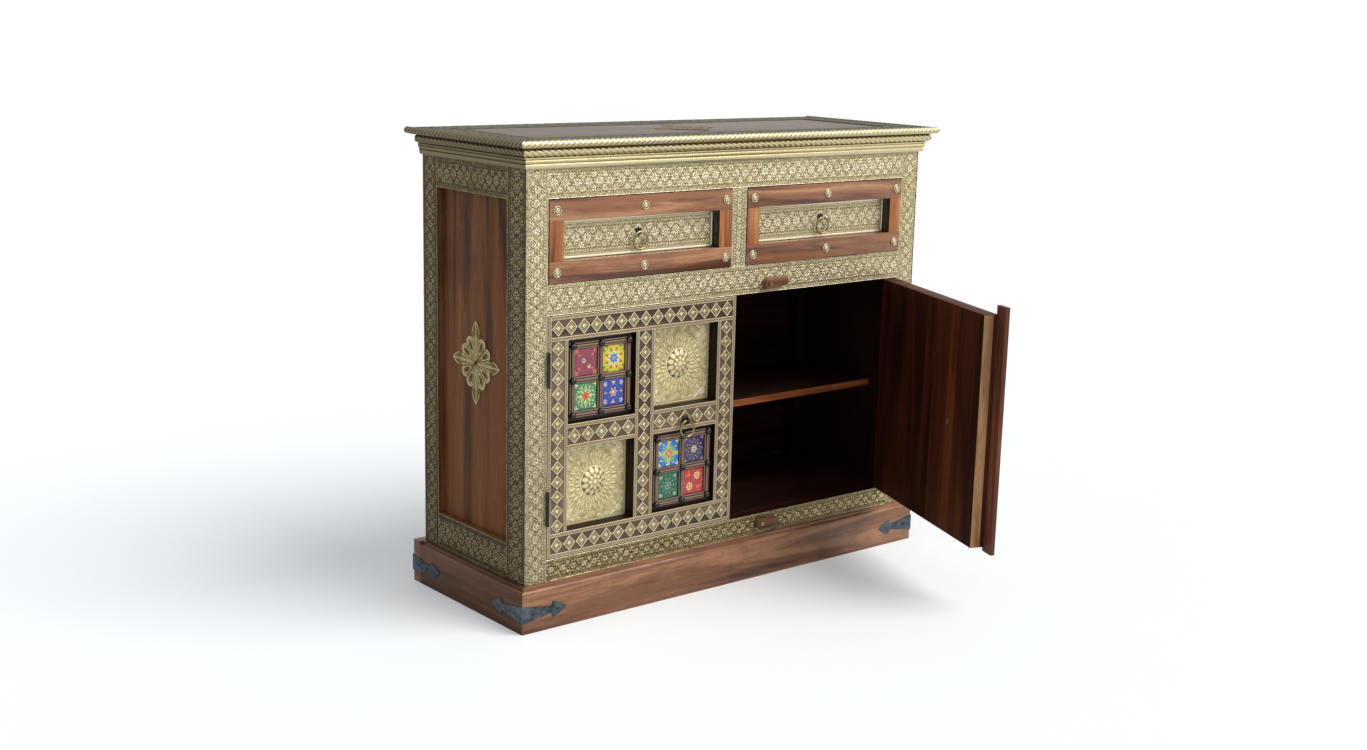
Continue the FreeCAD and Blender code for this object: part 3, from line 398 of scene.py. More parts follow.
def foliage(x, y, pitch, seed, full=1.0):
    """A close ground of small leaves and dots, each with its own lean, about a pitch apart."""
    rng = np.random.default_rng(seed)
    jitter = rng.uniform(-0.14, 0.14, (2, 61, 67))
    lean = rng.uniform(0, math.pi, (61, 67))
    round_ones = rng.uniform(0, 1, (61, 67)) < 0.3
    height = np.zeros(np.broadcast(x, y).shape)
    for layer, (off_x, off_y) in enumerate(((0.0, 0.0), (0.5, 0.5))):
        column = np.floor(x / pitch + off_x)
        row = np.floor(y / pitch + off_y)
        i = (column.astype(int) + 29 * layer) % 61
        j = (row.astype(int) + 17 * layer) % 67
        dx = x - (column + 0.5 - off_x + jitter[0][i, j]) * pitch
        dy = y - (row + 0.5 - off_y + jitter[1][i, j]) * pitch
        along = dx * np.cos(lean[i, j]) + dy * np.sin(lean[i, j])
        off = -dx * np.sin(lean[i, j]) + dy * np.cos(lean[i, j])
        reach = np.where(round_ones[i, j], 0.27, 0.44) * pitch * full
        wide = np.where(round_ones[i, j], 0.27, 0.21) * pitch * full
        swell = dome(np.hypot(along / reach, off / wide), 1.0)
        height = np.maximum(height, swell * (1 - 0.35 * np.exp(-(off / (0.07 * pitch)) ** 2)))
    return height


def star_flower(x, y, radius, petals):
    """A small starred flower of narrow petals round a dot."""
    rho = np.hypot(x, y)
    lobe = np.abs(np.cos(petals / 2 * (np.arctan2(y, x) + 0.2)))
    body = np.clip((lobe - 0.40) / 0.35, 0, 1) * dome(rho - 0.62 * radius, 0.38 * radius)
    return np.maximum(body, dome(rho, 0.18 * radius))


def vine_band(along, across, start, end, half, seed, pitch=25.0):
    """Embossing of a long strip, struck from one die at every repeat, between beaded edges."""
    rng = np.random.default_rng(seed)
    count = max(1, int(round((end - start) / pitch)))
    pitch = (end - start) / count
    field = half - 5.4
    spot = np.clip(((along - start) / pitch).astype(int), 0, count - 1)
    slip = rng.uniform(-0.9, 0.9, (2, count + 1))
    local = along - start - (spot + 0.5) * pitch - slip[0][spot]
    y = across - slip[1][spot]
    fold_x, fold_y = np.abs(local), np.abs(y)
    struck = 0.80 * foliage(fold_x, fold_y, 6.0, 17, 0.92)
    loose = 0.80 * foliage(along, across, 5.4, seed, 0.92)
    mix = np.clip(0.5 + 1.4 * noise_field(along, across, 12.0, seed + 7), 0, 1)
    height = struck * mix + loose * (1 - mix)
    height = np.maximum(height, 0.30 * stipple(along, across, 2.4, 31))
    gap = pitch / 2 - fold_x
    flowers = [(local, y, 0.40 * field, 8)]
    if field > 14:
        flowers += [(gap, fold_y - 0.58 * field, 0.26 * field, 6)]
    else:
        flowers += [(gap, y, 0.32 * field, 6)]
    for x, z, radius, petals in flowers:
        near = np.clip((radius - np.hypot(x, z)) / (0.4 * radius), 0, 1)
        height = np.maximum(height * (1 - 0.45 * near), 0.92 * star_flower(x, z, radius, petals))
    height = np.maximum(height, stipple(along, across, 6.4, seed + 11, 0.20))
    height = height * (np.abs(across) < field)
    rim = np.abs(across)
    bead = 3.5
    step = (along - start) / bead
    spacing = (step - np.floor(step) - 0.5) * bead
    height = np.maximum(height, 0.8 * dome(np.hypot(spacing, rim - (half - 3.3)), 1.5))
    height = np.maximum(height, 0.6 * dome(rim - (half - 5.3), 0.5))
    height = np.maximum(height, 0.85 * np.clip((rim - (half - 1.5)) / 0.5, 0, 1))
    graded = 0.94 + 0.07 * noise_field(along, across, 30.0, seed + 3) + 0.26 * noise_field(along, across, 3.4, seed + 5)
    return RELIEF * 0.98 * np.clip(height * graded, 0, 1)


def along_x(u_low, u_high, v_low, v_high, seed, pitch=25.0):
    middle, half = (v_low + v_high) / 2, (v_high - v_low) / 2
    return lambda u, v: vine_band(u, v - middle, u_low, u_high, half, seed, pitch)


def along_z(u_low, u_high, v_low, v_high, seed, pitch=25.0):
    middle, half = (u_low + u_high) / 2, (u_high - u_low) / 2
    return lambda u, v: vine_band(v, u - middle, v_low, v_high, half, seed, pitch)


# ---------------------------------------------------------------- materials


class Tree:
    """Short calls for building a node tree."""

    def __init__(self, tree):
        self.tree = tree

    def add(self, kind, inputs=None, **settings):
        node = self.tree.nodes.new(kind)
        for key, value in settings.items():
            setattr(node, key, value)
        for key, value in (inputs or {}).items():
            self.feed(node.inputs[key], value)
        return node

    def feed(self, socket, value):
        if isinstance(value, bpy.types.NodeSocket):
            self.tree.links.new(value, socket)
        else:
            socket.default_value = value

    def math(self, operation, a, b=0.0, clamp=False):
        return self.add("ShaderNodeMath", {0: a, 1: b}, operation=operation, use_clamp=clamp).outputs[0]

    def mix(self, factor, a, b, blend="MIX"):
        node = self.tree.nodes.new("ShaderNodeMix")
        node.data_type = "RGBA"
        node.blend_type = blend
        self.feed(node.inputs["Factor"], factor)
        self.feed(node.inputs[6], a)
        self.feed(node.inputs[7], b)
        return node.outputs[2]

    def ramp(self, factor, stops, smooth=True):
        node = self.add("ShaderNodeValToRGB", {"Fac": factor})
        ramp = node.color_ramp
        ramp.interpolation = "EASE" if smooth else "LINEAR"
        while len(ramp.elements) < len(stops):
            ramp.elements.new(0.5)
        for element, (place, colour) in zip(ramp.elements, stops):
            element.position = place
            element.color = colour if len(colour) == 4 else (*colour, 1.0)
        return node.outputs[0]

    def step(self, factor, low, high, smooth=True):
        """Black up to low and white from high on."""
        return self.ramp(factor, ((low, (0.0, 0.0, 0.0)), (high, (1.0, 1.0, 1.0))), smooth)

    def tint(self, colour, red, green, blue):
        """The colour, multiplied by another."""
        return self.mix(1.0, colour, (red, green, blue, 1.0), "MULTIPLY")

    def attribute(self, name, output="Fac"):
        return self.add("ShaderNodeAttribute", attribute_name=name).outputs[output]

    def place(self, source, by, operation="MULTIPLY"):
        """A place, multiplied by or moved by another along each axis."""
        return self.add("ShaderNodeVectorMath", {0: source, 1: by}, operation=operation).outputs[0]

    def here(self):
        return self.add("ShaderNodeTexCoord").outputs["Object"]

    def noise(self, vector, scale, detail=4.0, roughness=0.55, distortion=0.0):
        inputs = {"Vector": vector, "Scale": scale, "Detail": detail, "Roughness": roughness, "Distortion": distortion}
        return self.add("ShaderNodeTexNoise", inputs).outputs["Fac"]

    def bump(self, height, strength, distance, normal=None):
        inputs = {"Height": height, "Strength": strength, "Distance": distance}
        if normal is not None:
            inputs["Normal"] = normal
        return self.add("ShaderNodeBump", inputs).outputs["Normal"]

    def spread(self, factor, reach):
        """A factor turned into an offset of plus or minus half a reach, the same along every axis."""
        return self.math("MULTIPLY", self.math("SUBTRACT", factor, 0.5), reach)

    def grey(self, factor, low, high):
        """The factor, spread from low to high."""
        return self.add("ShaderNodeMapRange", {"Value": factor, "To Min": low, "To Max": high}).outputs["Result"]


class Nodes(Tree):
    """The node tree of one new material."""

    def __init__(self, name):
        self.material = bpy.data.materials.new(name)
        self.material.use_nodes = True
        super().__init__(self.material.node_tree)
        self.shader = self.tree.nodes["Principled BSDF"]

    def set(self, **values):
        for key, value in values.items():
            self.feed(self.shader.inputs[key.replace("_", " ")], value)


def wood(name, colours, rough, sheen=0.0, contrast=1.0, broad=3.6, gloss=0.5, crown=None, stain=0.42):
    """Oiled hardwood: broad uneven figure, a few fine streaks, fibres and pores along each board."""
    n = Nodes(name)
    dark, middle, light = (srgb(*colour) for colour in colours)
    grain = n.attribute("grain", "Vector")
    warp = n.noise(n.place(grain, (1.1, 6.0, 6.0)), 1.0, 2.0, 0.5)
    drift = n.place(grain, n.spread(warp, 0.05), "ADD")
    figure = n.noise(n.place(drift, (broad * 0.42, broad * 5.2, broad * 5.2)), 1.0, 5.0, 0.62, 1.1)
    streaks = n.noise(n.place(drift, (3.4, 75.0, 75.0)), 1.0, 4.0, 0.6, 0.5)
    fibres = n.noise(n.place(grain, (16.0, 560.0, 560.0)), 1.0, 3.0, 0.6)
    pores = n.noise(n.place(grain, (48.0, 820.0, 820.0)), 1.0, 2.0, 0.5)
    level = n.spread(figure, 1.6 * contrast)
    for factor, reach in ((streaks, 0.60 * contrast), (fibres, 0.18), (n.attribute("tone"), 0.30)):
        level = n.math("ADD", level, n.spread(factor, reach))
    colour = n.ramp(n.math("ADD", level, 0.5, clamp=True), ((0.22, dark), (0.5, middle), (0.78, light)))
    pitted = n.step(pores, 0.33, 0.42, smooth=False)
    colour = n.mix(n.grey(pitted, 0.45, 0.0), colour, dark)
    stained = n.step(n.noise(n.here(), 6.0, 4.0, 0.6, 0.6), 0.50, 0.68)
    colour = n.mix(n.grey(stained, 0.0, stain), colour, dark)
    # Painted light: an attribute mixes in a colour of painted shade on reveals and inner faces, and of painted
    # highlight on the bars' reed tops.
    if crown:
        colour = n.mix(n.attribute("crown"), colour, srgb(*crown))
    n.set(Base_Color=colour, Roughness=n.grey(n.noise(n.here(), 21.0, 3.0), *rough))
    relief = n.math("ADD", n.math("MULTIPLY", fibres, 0.7), n.math("MULTIPLY", pitted, 0.5))
    n.set(Normal=n.bump(relief, 0.28, 0.0004), Specular_IOR_Level=gloss, Coat_Weight=sheen, Coat_Roughness=0.32)
    return n.material


def brass(name, colours, rough=(0.52, 0.3), metal=0.85, blotch=0.35, stain=(0.84, 0.70, 0.52),
          stops=(0.02, 0.36, 0.86), speckle=0.55, low_darkening=0.0):
    """Embossed sheet brass: dark in its hollows from patina and painted shade, bright on its crowns from wear and a
    painted highlight, stained, duller towards the floor.
    """
    n = Nodes(name)
    here = n.here()
    mottled = n.noise(here, 420.0, 3.0, 0.65)
    stained = n.noise(here, 13.0, 5.0, 0.62, 0.4)
    level = n.math("ADD", n.attribute("relief"), n.spread(mottled, speckle), clamp=True)
    colour = n.ramp(level, [(stop, srgb(*colour)) for stop, colour in zip(stops, colours)])
    colour = n.mix(n.grey(stained, -blotch * 0.6, blotch * 1.5), colour, n.tint(colour, *stain))
    greened = n.step(n.noise(here, 24.0, 4.0, 0.6, 0.3), 0.52, 0.68)
    colour = n.mix(n.grey(greened, 0.0, 0.18), colour, n.tint(colour, 0.80, 0.90, 0.72))
    # Darker and greyer towards the floor.
    if low_darkening:
        height = n.add("ShaderNodeSeparateXYZ", {0: here}).outputs[2]
        low_down = n.add("ShaderNodeMapRange", {"Value": height, "From Min": 0.82, "From Max": 0.08}).outputs["Result"]
        graded = n.math("MULTIPLY", n.math("POWER", low_down, 1.4), low_darkening)
        colour = n.mix(graded, colour, n.tint(colour, 0.52, 0.50, 0.54))
    n.set(Base_Color=colour, Metallic=metal, Roughness=n.grey(level, *rough))
    n.set(Normal=n.bump(n.noise(here, 700.0, 3.0, 0.6), 0.22, 0.0004, n.bump(mottled, 0.25, 0.0006)))
    return n.material


def metal(name, dark, light, rough, metallic, scale, dents):
    """Plain worked metal with hammer marks and wear."""
    n = Nodes(name)
    here = n.here()
    graded = n.noise(here, scale, 5.0, 0.62)
    broad = n.noise(here, scale / 6, 3.0, 0.5)
    mixed = n.math("ADD", n.math("MULTIPLY", graded, 0.6), n.math("MULTIPLY", broad, 0.4))
    n.set(Base_Color=n.ramp(mixed, ((0.36, dark), (0.64, light))), Metallic=metallic, Roughness=n.grey(graded, *rough))
    n.set(Normal=n.bump(broad, dents, 0.0012, n.bump(graded, dents * 0.6, 0.0004)))
    return n.material


def glaze(name):
    """Painted and glazed earthenware; the paint is held per corner."""
    n = Nodes(name)
    here = n.here()
    paint = n.attribute("paint", "Color")
    pool = n.noise(here, 260.0, 3.0, 0.6)
    washed = n.mix(n.grey(pool, 0.0, 0.22), paint, n.tint(paint, 0.62, 0.6, 0.58))
    crackle = n.add("ShaderNodeTexVoronoi", {"Vector": here, "Scale": 330.0}, feature="DISTANCE_TO_EDGE")
    cracks = n.step(crackle.outputs["Distance"], 0.0, 0.035, smooth=False)
    n.set(Base_Color=n.mix(n.grey(cracks, 0.18, 0.0), washed, (0.16, 0.12, 0.09, 1.0)),
          Roughness=n.grey(pool, 0.10, 0.24), Normal=n.bump(pool, 0.18, 0.0005), Coat_Weight=0.5, Coat_Roughness=0.06)
    return n.material


SHARP_STOPS = (0.04, 0.36, 0.86)
# Colour of painted shade on the faces of drawer and door frames that look into their openings
PAINTED_SHADE_BROWN = (30, 13, 7)

# Colours in hollows, on slopes and on crowns, then what differs from plain embossed brass
BRASSES = {
    "front_brass": (((116, 101, 66), (200, 183, 140), (255, 248, 220)),
                    dict(stain=(0.92, 0.84, 0.70), blotch=0.2, stops=SHARP_STOPS, speckle=0.75, low_darkening=0.55)),
    "low_brass": (((62, 46, 24), (142, 124, 84), (250, 238, 196)), dict(blotch=0.3, stops=SHARP_STOPS, speckle=0.8)),
    "sun_brass": (((66, 54, 32), (210, 192, 138), (250, 240, 204)),
                  dict(rough=(0.62, 0.56), stops=(0.05, 0.38, 0.88), metal=0.65)),
    # A darker copy of the front brass for the side faces: painted shade.
    "side_brass": (((36, 31, 20), (94, 82, 59), (158, 144, 108)),
                   dict(rough=(0.6, 0.42), blotch=0.2, stops=(0.06, 0.36, 0.84))),
    # A darker copy of the cornice brass for the side runs and frieze boards: painted shade.
    "painted_shade_cornice": (((38, 32, 20), (82, 72, 50), (122, 112, 82)), dict(rough=(0.6, 0.42))),
    "cornice_brass": (((130, 111, 66), (201, 184, 132), (228, 216, 174)), dict(rough=(0.42, 0.24))),
    "top_brass": (((34, 34, 26), (76, 76, 60), (122, 120, 96)), dict(rough=(0.62, 0.46))),
    "top_rosette": (((62, 50, 38), (98, 82, 62), (132, 116, 92)), dict(rough=(0.6, 0.45))),
    # Darker than the front's brass, as painted shade on the sides.
    "side_rosette": (((48, 42, 24), (112, 101, 66), (178, 164, 118)), dict(rough=(0.6, 0.42))),
    "plain_brass": (((74, 62, 40), (168, 154, 116), (232, 222, 186)), dict(rough=(0.45, 0.28))),
    "lattice_brass": (((86, 70, 49), (167, 151, 115), (250, 240, 204)),
                      dict(rough=(0.5, 0.3), stops=(0.05, 0.40, 0.86))),
    "strip_brass": (((62, 46, 32), (132, 114, 88), (224, 210, 176)),
                    dict(rough=(0.5, 0.34), metal=0.6, blotch=0.6, speckle=0.7)),
}

# Dark, middle and light colours, range of roughness, coat, then what differs from plain oiled wood
WOODS = {
    # The front and back plinth wood is lightened partly as painted sheen, and the sides get a darker copy as painted
    # shade.
    "plinth": (((74, 43, 27), (135, 89, 61), (180, 128, 92)), (0.34, 0.5), 0.25, dict(broad=3.0, gloss=0.4, stain=0.3)),
    "plinth_side": (((46, 24, 13), (84, 52, 33), (116, 76, 51)), (0.4, 0.56), 0.05,
                    dict(contrast=0.8, broad=3.0, gloss=0.28, stain=0.2)),
    "frame_edge": (((70, 40, 22), (108, 68, 40), (140, 94, 60)), (0.45, 0.6), 0.0, dict(gloss=0.25)),
    "frame": (((112, 58, 28), (172, 102, 54), (204, 138, 84)), (0.30, 0.46), 0.12,
              dict(gloss=0.4, crown=PAINTED_SHADE_BROWN, stain=0.3)),
    "rail": (((88, 48, 27), (154, 98, 62), (194, 142, 100)), (0.26, 0.42), 0.35,
             dict(contrast=1.1, crown=PAINTED_SHADE_BROWN, stain=0.3)),
    # The panels' inner faces get painted shade in the darker brown.
    "panel": (((66, 38, 20), (122, 76, 44), (160, 106, 66)), (0.5, 0.66), 0.0,
              dict(contrast=0.7, broad=3.0, gloss=0.14, crown=(34, 15, 8))),
    # Grey-brown: the wood's own colour with a painted sheen mixed in.
    "top": (((78, 64, 54), (104, 88, 76), (122, 106, 94)), (0.4, 0.52), 0.0, dict(contrast=0.8, gloss=0.25)),
    # Near black: the shade inside the cupboard, painted into the wood's colour.
    "inner": (((22, 8, 4), (40, 16, 8), (64, 28, 14)), (0.6, 0.75), 0.0, dict(gloss=0.12)),
    "open_door": (((36, 12, 5), (72, 31, 14), (116, 58, 30)), (0.5, 0.65), 0.0,
                  dict(contrast=0.8, broad=3.0, gloss=0.16, crown=PAINTED_SHADE_BROWN)),
    "strip": (((54, 26, 16), (100, 54, 35), (142, 84, 55)), (0.38, 0.54), 0.08, dict(gloss=0.3)),
    "button": (((64, 38, 25), (116, 76, 53), (154, 108, 80)), (0.4, 0.55), 0.05, dict(gloss=0.3)),
    "band": (((98, 62, 36), (150, 106, 68), (184, 140, 96)), (0.4, 0.55), 0.0, dict(contrast=0.9, gloss=0.3)),
    # The shelf is near black, as painted shade; shelf_edge below is a lit copy of the same wood, for its front edge.
    "shelf": (((16, 7, 4), (30, 13, 7), (48, 22, 12)), (0.5, 0.65), 0.0, dict(gloss=0.16)),
    "shelf_edge": (((76, 34, 15), (140, 70, 32), (190, 112, 58)), (0.4, 0.55), 0.05, {}),
    "lattice": (((62, 44, 31), (102, 78, 58), (138, 112, 86)), (0.4, 0.6), 0.05, {}),
    # The bars' reed tops get a painted highlight in this lighter colour.
    "bar": (((28, 15, 9), (60, 36, 25), (92, 60, 44)), (0.3, 0.44), 0.14, dict(crown=(164, 134, 110))),
}


def make_materials():
    """Every material, by its name."""
    made = {name: brass(name, colours, **options) for name, (colours, options) in BRASSES.items()}
    made |= {
        "ring_brass": metal("ring_brass", srgb(100, 88, 56), srgb(192, 178, 132), (0.26, 0.42), 1.0, 260.0, 0.2),
        "iron": metal("iron", srgb(54, 62, 70), srgb(100, 110, 119), (0.34, 0.5), 0.75, 90.0, 0.4),
        "black_iron": metal("black_iron", (0.010,) * 3, (0.042, 0.042, 0.044), (0.42, 0.62), 0.5, 300.0, 0.4),
        "nail": metal("nail", srgb(36, 38, 42), srgb(74, 76, 82), (0.35, 0.5), 0.9, 300.0, 0.3),
        "ball": metal("ball", (0.006, 0.005, 0.004), (0.018, 0.015, 0.013), (0.10, 0.2), 0.0, 220.0, 0.12),
    }
    for name, (colours, rough, sheen, options) in WOODS.items():
        made[name] = wood(name + "_wood", colours, rough, sheen, **options)
    made["glaze"] = glaze("tile_glaze")
    return made


# ---------------------------------------------------------------- boards


def solids_of(node):
    """The separate solids of a CAD node, each as its corners and faces, in millimetres."""
    mesh = frame["nodes"][node].data
    corners = np.array([v.co for v in mesh.vertices], float) / MM
    keys = [tuple(np.round(c, 3)) for c in corners]
    found, faces, edges = [], [], {}
    for polygon in mesh.polygons:
        face = [keys[i] for i in polygon.vertices]
        faces.append(face)
        for a, b in zip(face, face[1:] + face[:1]):
            edge = (a, b) if a < b else (b, a)
            edges[edge] = edges.get(edge, 0) + 1
            if edges[edge] == 2:
                del edges[edge]
        if not edges:
            found.append(faces)
            faces = []
    if faces:
        found.append(faces)
    made = []
    for faces in found:
        order = {}
        for face in faces:
            for key in face:
                order.setdefault(key, len(order))
        made.append((np.array(list(order)), [[order[key] for key in face] for face in faces]))
    return made


def bevelled(corners, faces, edge):
    """Corners and faces of a solid with its sharp edges eased."""
    work = bmesh.new()
    verts = [work.verts.new(c * MM) for c in corners]
    for face in faces:
        if len(set(face)) == len(face):
            try:
                work.faces.new([verts[i] for i in face])
            except ValueError:
                continue
    bmesh.ops.dissolve_limit(
        work, angle_limit=math.radians(0.5), verts=work.verts, edges=work.edges, delimit={"NORMAL"})
    sharp = [e for e in work.edges if e.is_manifold and e.calc_face_angle(0) > math.radians(28)]
    if edge and sharp:
        bmesh.ops.bevel(
            work, geom=sharp, offset=edge * MM, segments=2, profile=0.6, affect="EDGES", clamp_overlap=True)
    bmesh.ops.triangulate(work, faces=[f for f in work.faces if len(f.verts) > 4])
    bmesh.ops.recalc_face_normals(work, faces=work.faces)
    work.verts.index_update()
    points = np.array([v.co for v in work.verts], float) / MM
    made = [[v.index for v in f.verts] for f in work.faces]
    work.free()
    return points, made


def add_board(shape, corners, faces, edge, is_open=False, along=None, crown=None, tone=None):
    """One eased board, with grain along its longest side. An optional function of the points gives where the board's
    painted light colour is mixed in.
    """
    points, made = bevelled(corners, faces, edge)
    local = swung(points, back=True) if is_open else points
    size = local.max(0) - local.min(0)
    lead = int(np.argmax(size)) if along is None else along
    order = [lead] + [i for i in range(3) if i != lead]
    grain = local[:, order] * MM + RANDOM.uniform(-3, 3, 3)
    drawn = RANDOM.uniform(0, 1)
    values = {"grain": grain, "tone": drawn if tone is None else tone}
    if crown:
        values["crown"] = crown(local)
    shape.add(points, [[f for f in made if len(f) == k] for k in (3, 4)], **values)


def boards(node, body, slot, material, edge=0.8, along=None, crown=None):
    """Stands for a wooden CAD node: the same solids with eased edges and grain."""
    shape = Shape()
    is_open = body == "right_door"
    for corners, faces in solids_of(node):
        add_board(shape, corners, faces, edge, is_open, along, crown)
    make_piece(node + "_wood", shape, body, slot, material, [node], sharp=50.0)


def box_board(shape, low, high, edge=0.6, along=None, tone=None):
    """A board from two opposite corners."""
    x, y, z = zip(low, high)
    corners = np.array([(x[i], y[j], z[k]) for i in (0, 1) for j in (0, 1) for k in (0, 1)], float)
    faces = [[0, 1, 3, 2], [4, 6, 7, 5], [0, 4, 5, 1], [2, 3, 7, 6], [0, 2, 6, 4], [1, 5, 7, 3]]
    add_board(shape, corners, faces, edge, False, along, None, tone)


# ---------------------------------------------------------------- carcass


def sided(side):
    """Turns distances from the middle, or depths, into a low to high range on one side."""
    return lambda near, far: tuple(sorted((side * near, side * far)))


# Material and ease of the edges of each wooden node of the carcass, in the order in which their grain is drawn
CARCASS_BOARDS = {
    "plinth_front": ("plinth", 1.0), "plinth_sides": ("plinth_side", 1.0), "plinth_back": ("plinth", 1.0),
    "plinth_bearer": ("inner", 0.8), "front_left_post": ("inner", 0.4), "front_right_post": ("inner", 0.4),
    "back_posts": ("inner", 0.8), "side_rails": ("inner", 0.4), "side_panels": ("panel", 0.4),
    "top_front_rail": ("inner", 0.4), "mid_front_rail": ("inner", 0.4), "bottom_front_rail": ("inner", 0.4),
    "drawer_divider": ("inner", 0.4), "back_rails": ("inner", 0.8), "back_panel": ("inner", 0.4),
    "bottom_board": ("inner", 0.6), "dust_board": ("inner", 0.6), "runners_and_cleats": ("inner", 0.6),
    "shelf": ("shelf", 0.8), "top_board": ("top", 0.8),
}
SLOTS = {"plinth_side": "plinth_wood", "shelf": "inner_wood"}


def make_carcass(m):
    def inside(points):
        """Full on the faces of the side panels that look into the cupboard, where painted shade goes."""
        return (np.abs(points[:, 0]) < SIDE_PANEL_FACE - 4.0).astype(float)

    for node, (material, edge) in CARCASS_BOARDS.items():
        along, crown = (2, inside) if node == "side_panels" else (None, None)
        boards(node, "carcass", SLOTS.get(material, material + "_wood"), m[material], edge, along, crown)
    edges = Shape()
    for side in (-1, 1):
        x = sided(side)(SIDE_PANEL_FACE + 0.05, HALF_WIDTH - SKIN - 0.3)
        front, back, low, high = SIDE_POST_FRONT, SIDE_POST_BACK, SIDE_PANEL_LOW, SIDE_PANEL_HIGH
        box_board(edges, (x[0], front, low), (x[1], front + 0.3, high), 0.0, 2)
        box_board(edges, (x[0], back - 0.3, low), (x[1], back, high), 0.0, 2)
        box_board(edges, (x[0], front, low), (x[1], back, low + 0.3), 0.0, 1)
        box_board(edges, (x[0], front, high - 0.3), (x[1], back, high), 0.0, 1)
    make_piece("side_frame_edges", edges, "carcass", "frame_wood", m["frame_edge"], ["side_rails"])
    # A skin over the shelf's front edge, in the lit copy of the wood whose top has painted shade.
    lit_edge = Shape()
    box_board(lit_edge, *SHELF_LIT_EDGE, 0.0, 0, 0.8)
    make_piece("shelf_lipping", lit_edge, "carcass", "frame_wood", m["shelf_edge"], ["shelf"])


def make_front_brass(m):
    parts = {
        "front_brass_left_post": ((-HALF_WIDTH, -POST_INNER), (PLINTH_TOP, BODY_TOP), along_z, 11),
        "front_brass_right_post": ((POST_INNER, HALF_WIDTH), (PLINTH_TOP, BODY_TOP), along_z, 23),
        "front_brass_top_rail": ((-POST_INNER, POST_INNER), (DRAWER_HIGH, BODY_TOP), along_x, 35),
        "front_brass_middle_rail": ((-POST_INNER, POST_INNER), (DOOR_HIGH, DRAWER_LOW), along_x, 47),
        "front_brass_bottom_rail": ((-POST_INNER, POST_INNER), (PLINTH_TOP, DOOR_LOW), along_x, 59),
        "front_brass_divider": ((-DIVIDER_HALF, DIVIDER_HALF), (DRAWER_LOW, DRAWER_HIGH), along_z, 61),
    }
    for name, (u_range, v_range, pattern, seed) in parts.items():
        shape = relief_sheet(Shape(), FRONT, u_range, v_range, pattern(*u_range, *v_range, seed), 0.8)
        finish = m["low_brass"] if name.endswith("bottom_rail") else m["front_brass"]
        make_embossed(name, shape, "carcass", finish, "front_brass")
    nail = lathe(
        Shape(), ((3.0, 0.4), (2.9, 1.4), (2.2, 2.3), (1.1, 2.8), (0.05, 2.95)), 20,
        at(FRONT, 185.0, 600.0), relief=(0.1, 0.4, 0.8, 1.0, 1.0))
    make_piece("middle_rail_nail", nail, "carcass", "ring_brass", m["plain_brass"])


def make_side_brass(m):
    for side, word, face in SIDES:
        across = sided(side)
        ranges = {
            "front_stile": (across(-HALF_DEPTH, SIDE_POST_FRONT), (PLINTH_TOP, BODY_TOP), along_z, 71),
            "back_stile": (across(SIDE_POST_BACK, HALF_DEPTH), (PLINTH_TOP, BODY_TOP), along_z, 83),
            "top_rail": (across(SIDE_POST_FRONT, SIDE_POST_BACK), (SIDE_PANEL_HIGH, BODY_TOP), along_x, 97),
            "bottom_rail": (across(SIDE_POST_FRONT, SIDE_POST_BACK), (PLINTH_TOP, SIDE_PANEL_LOW), along_x, 103),
        }
        for part, (u_range, v_range, pattern, seed) in ranges.items():
            vine = pattern(*u_range, *v_range, seed + side, 24.0)
            shape = relief_sheet(Shape(), face, u_range, v_range, vine, 1.2)
            # The side faces get the darker copy of the brass, as painted shade.
            make_embossed(f"{word}_side_brass_{part}", shape, "carcass", m["side_brass"], "side_brass")


def rosette_height(a, b, reach):
    """A cast rosette: a ribbed leaf on each axis, two scallops between with an eye in each, all edged by a rim."""
    rho = np.hypot(a, b) / reach
    theta = np.arctan2(b, a)
    quarter = (theta + math.pi / 4) % (math.pi / 2) - math.pi / 4
    along, off = rho * np.cos(quarter), rho * np.sin(quarter)
    rim = 0.95 * dome((rosette_edge(theta) - rho) / 0.034 - 1.0, 1.0)
    chevrons = 0.38 + 0.30 * np.cos(2 * math.pi * (along - 1.3 * np.abs(off)) / 0.085)
    arm = np.maximum(chevrons, 0.85 * dome(off, 0.022)) * (along > 0.5) * (np.abs(off) < 0.2)
    turned = np.abs(quarter) - math.radians(29.0)
    ribs = (0.52 + 0.30 * np.cos(turned * 40)) * (rho < 0.62)
    eye = dome(np.hypot((rho - 0.44) / 0.15, turned * rho / 0.055), 1.0)
    lash = 0.9 * dome(np.hypot((rho - 0.44) / 0.18, turned * rho / 0.08) - 0.92, 0.16)
    body = np.maximum(ribs * (1 - 0.75 * eye), lash)
    spine = 0.85 * dome(off, 0.030 + 0.06 * np.clip(along - 0.1, 0, 0.3)) * (along > 0.06) * (along < 0.56)
    spine = spine * (1 - 0.5 * np.exp(-(off / 0.01) ** 2))
    heart = np.clip(rho / 0.07, 0, 1)
    return np.clip(np.maximum.reduce([rim, arm, body, spine]) * heart, 0, 1)


def rosette_edge(theta):
    """Share of the reach at which the rosette's outline stands: a leaf on each axis, two scallops between."""
    turned = np.degrees(np.abs((theta + math.pi / 4) % (math.pi / 2) - math.pi / 4))
    arm = 0.72 + 0.28 * np.clip(1 - turned / 13.0, 0, 1) ** 0.8
    scallop = 0.50 + 0.17 * np.sqrt(np.clip(1 - ((turned - 29.0) / 16.5) ** 2, 0, 1))
    return np.where(turned < 13.0, arm, scallop)


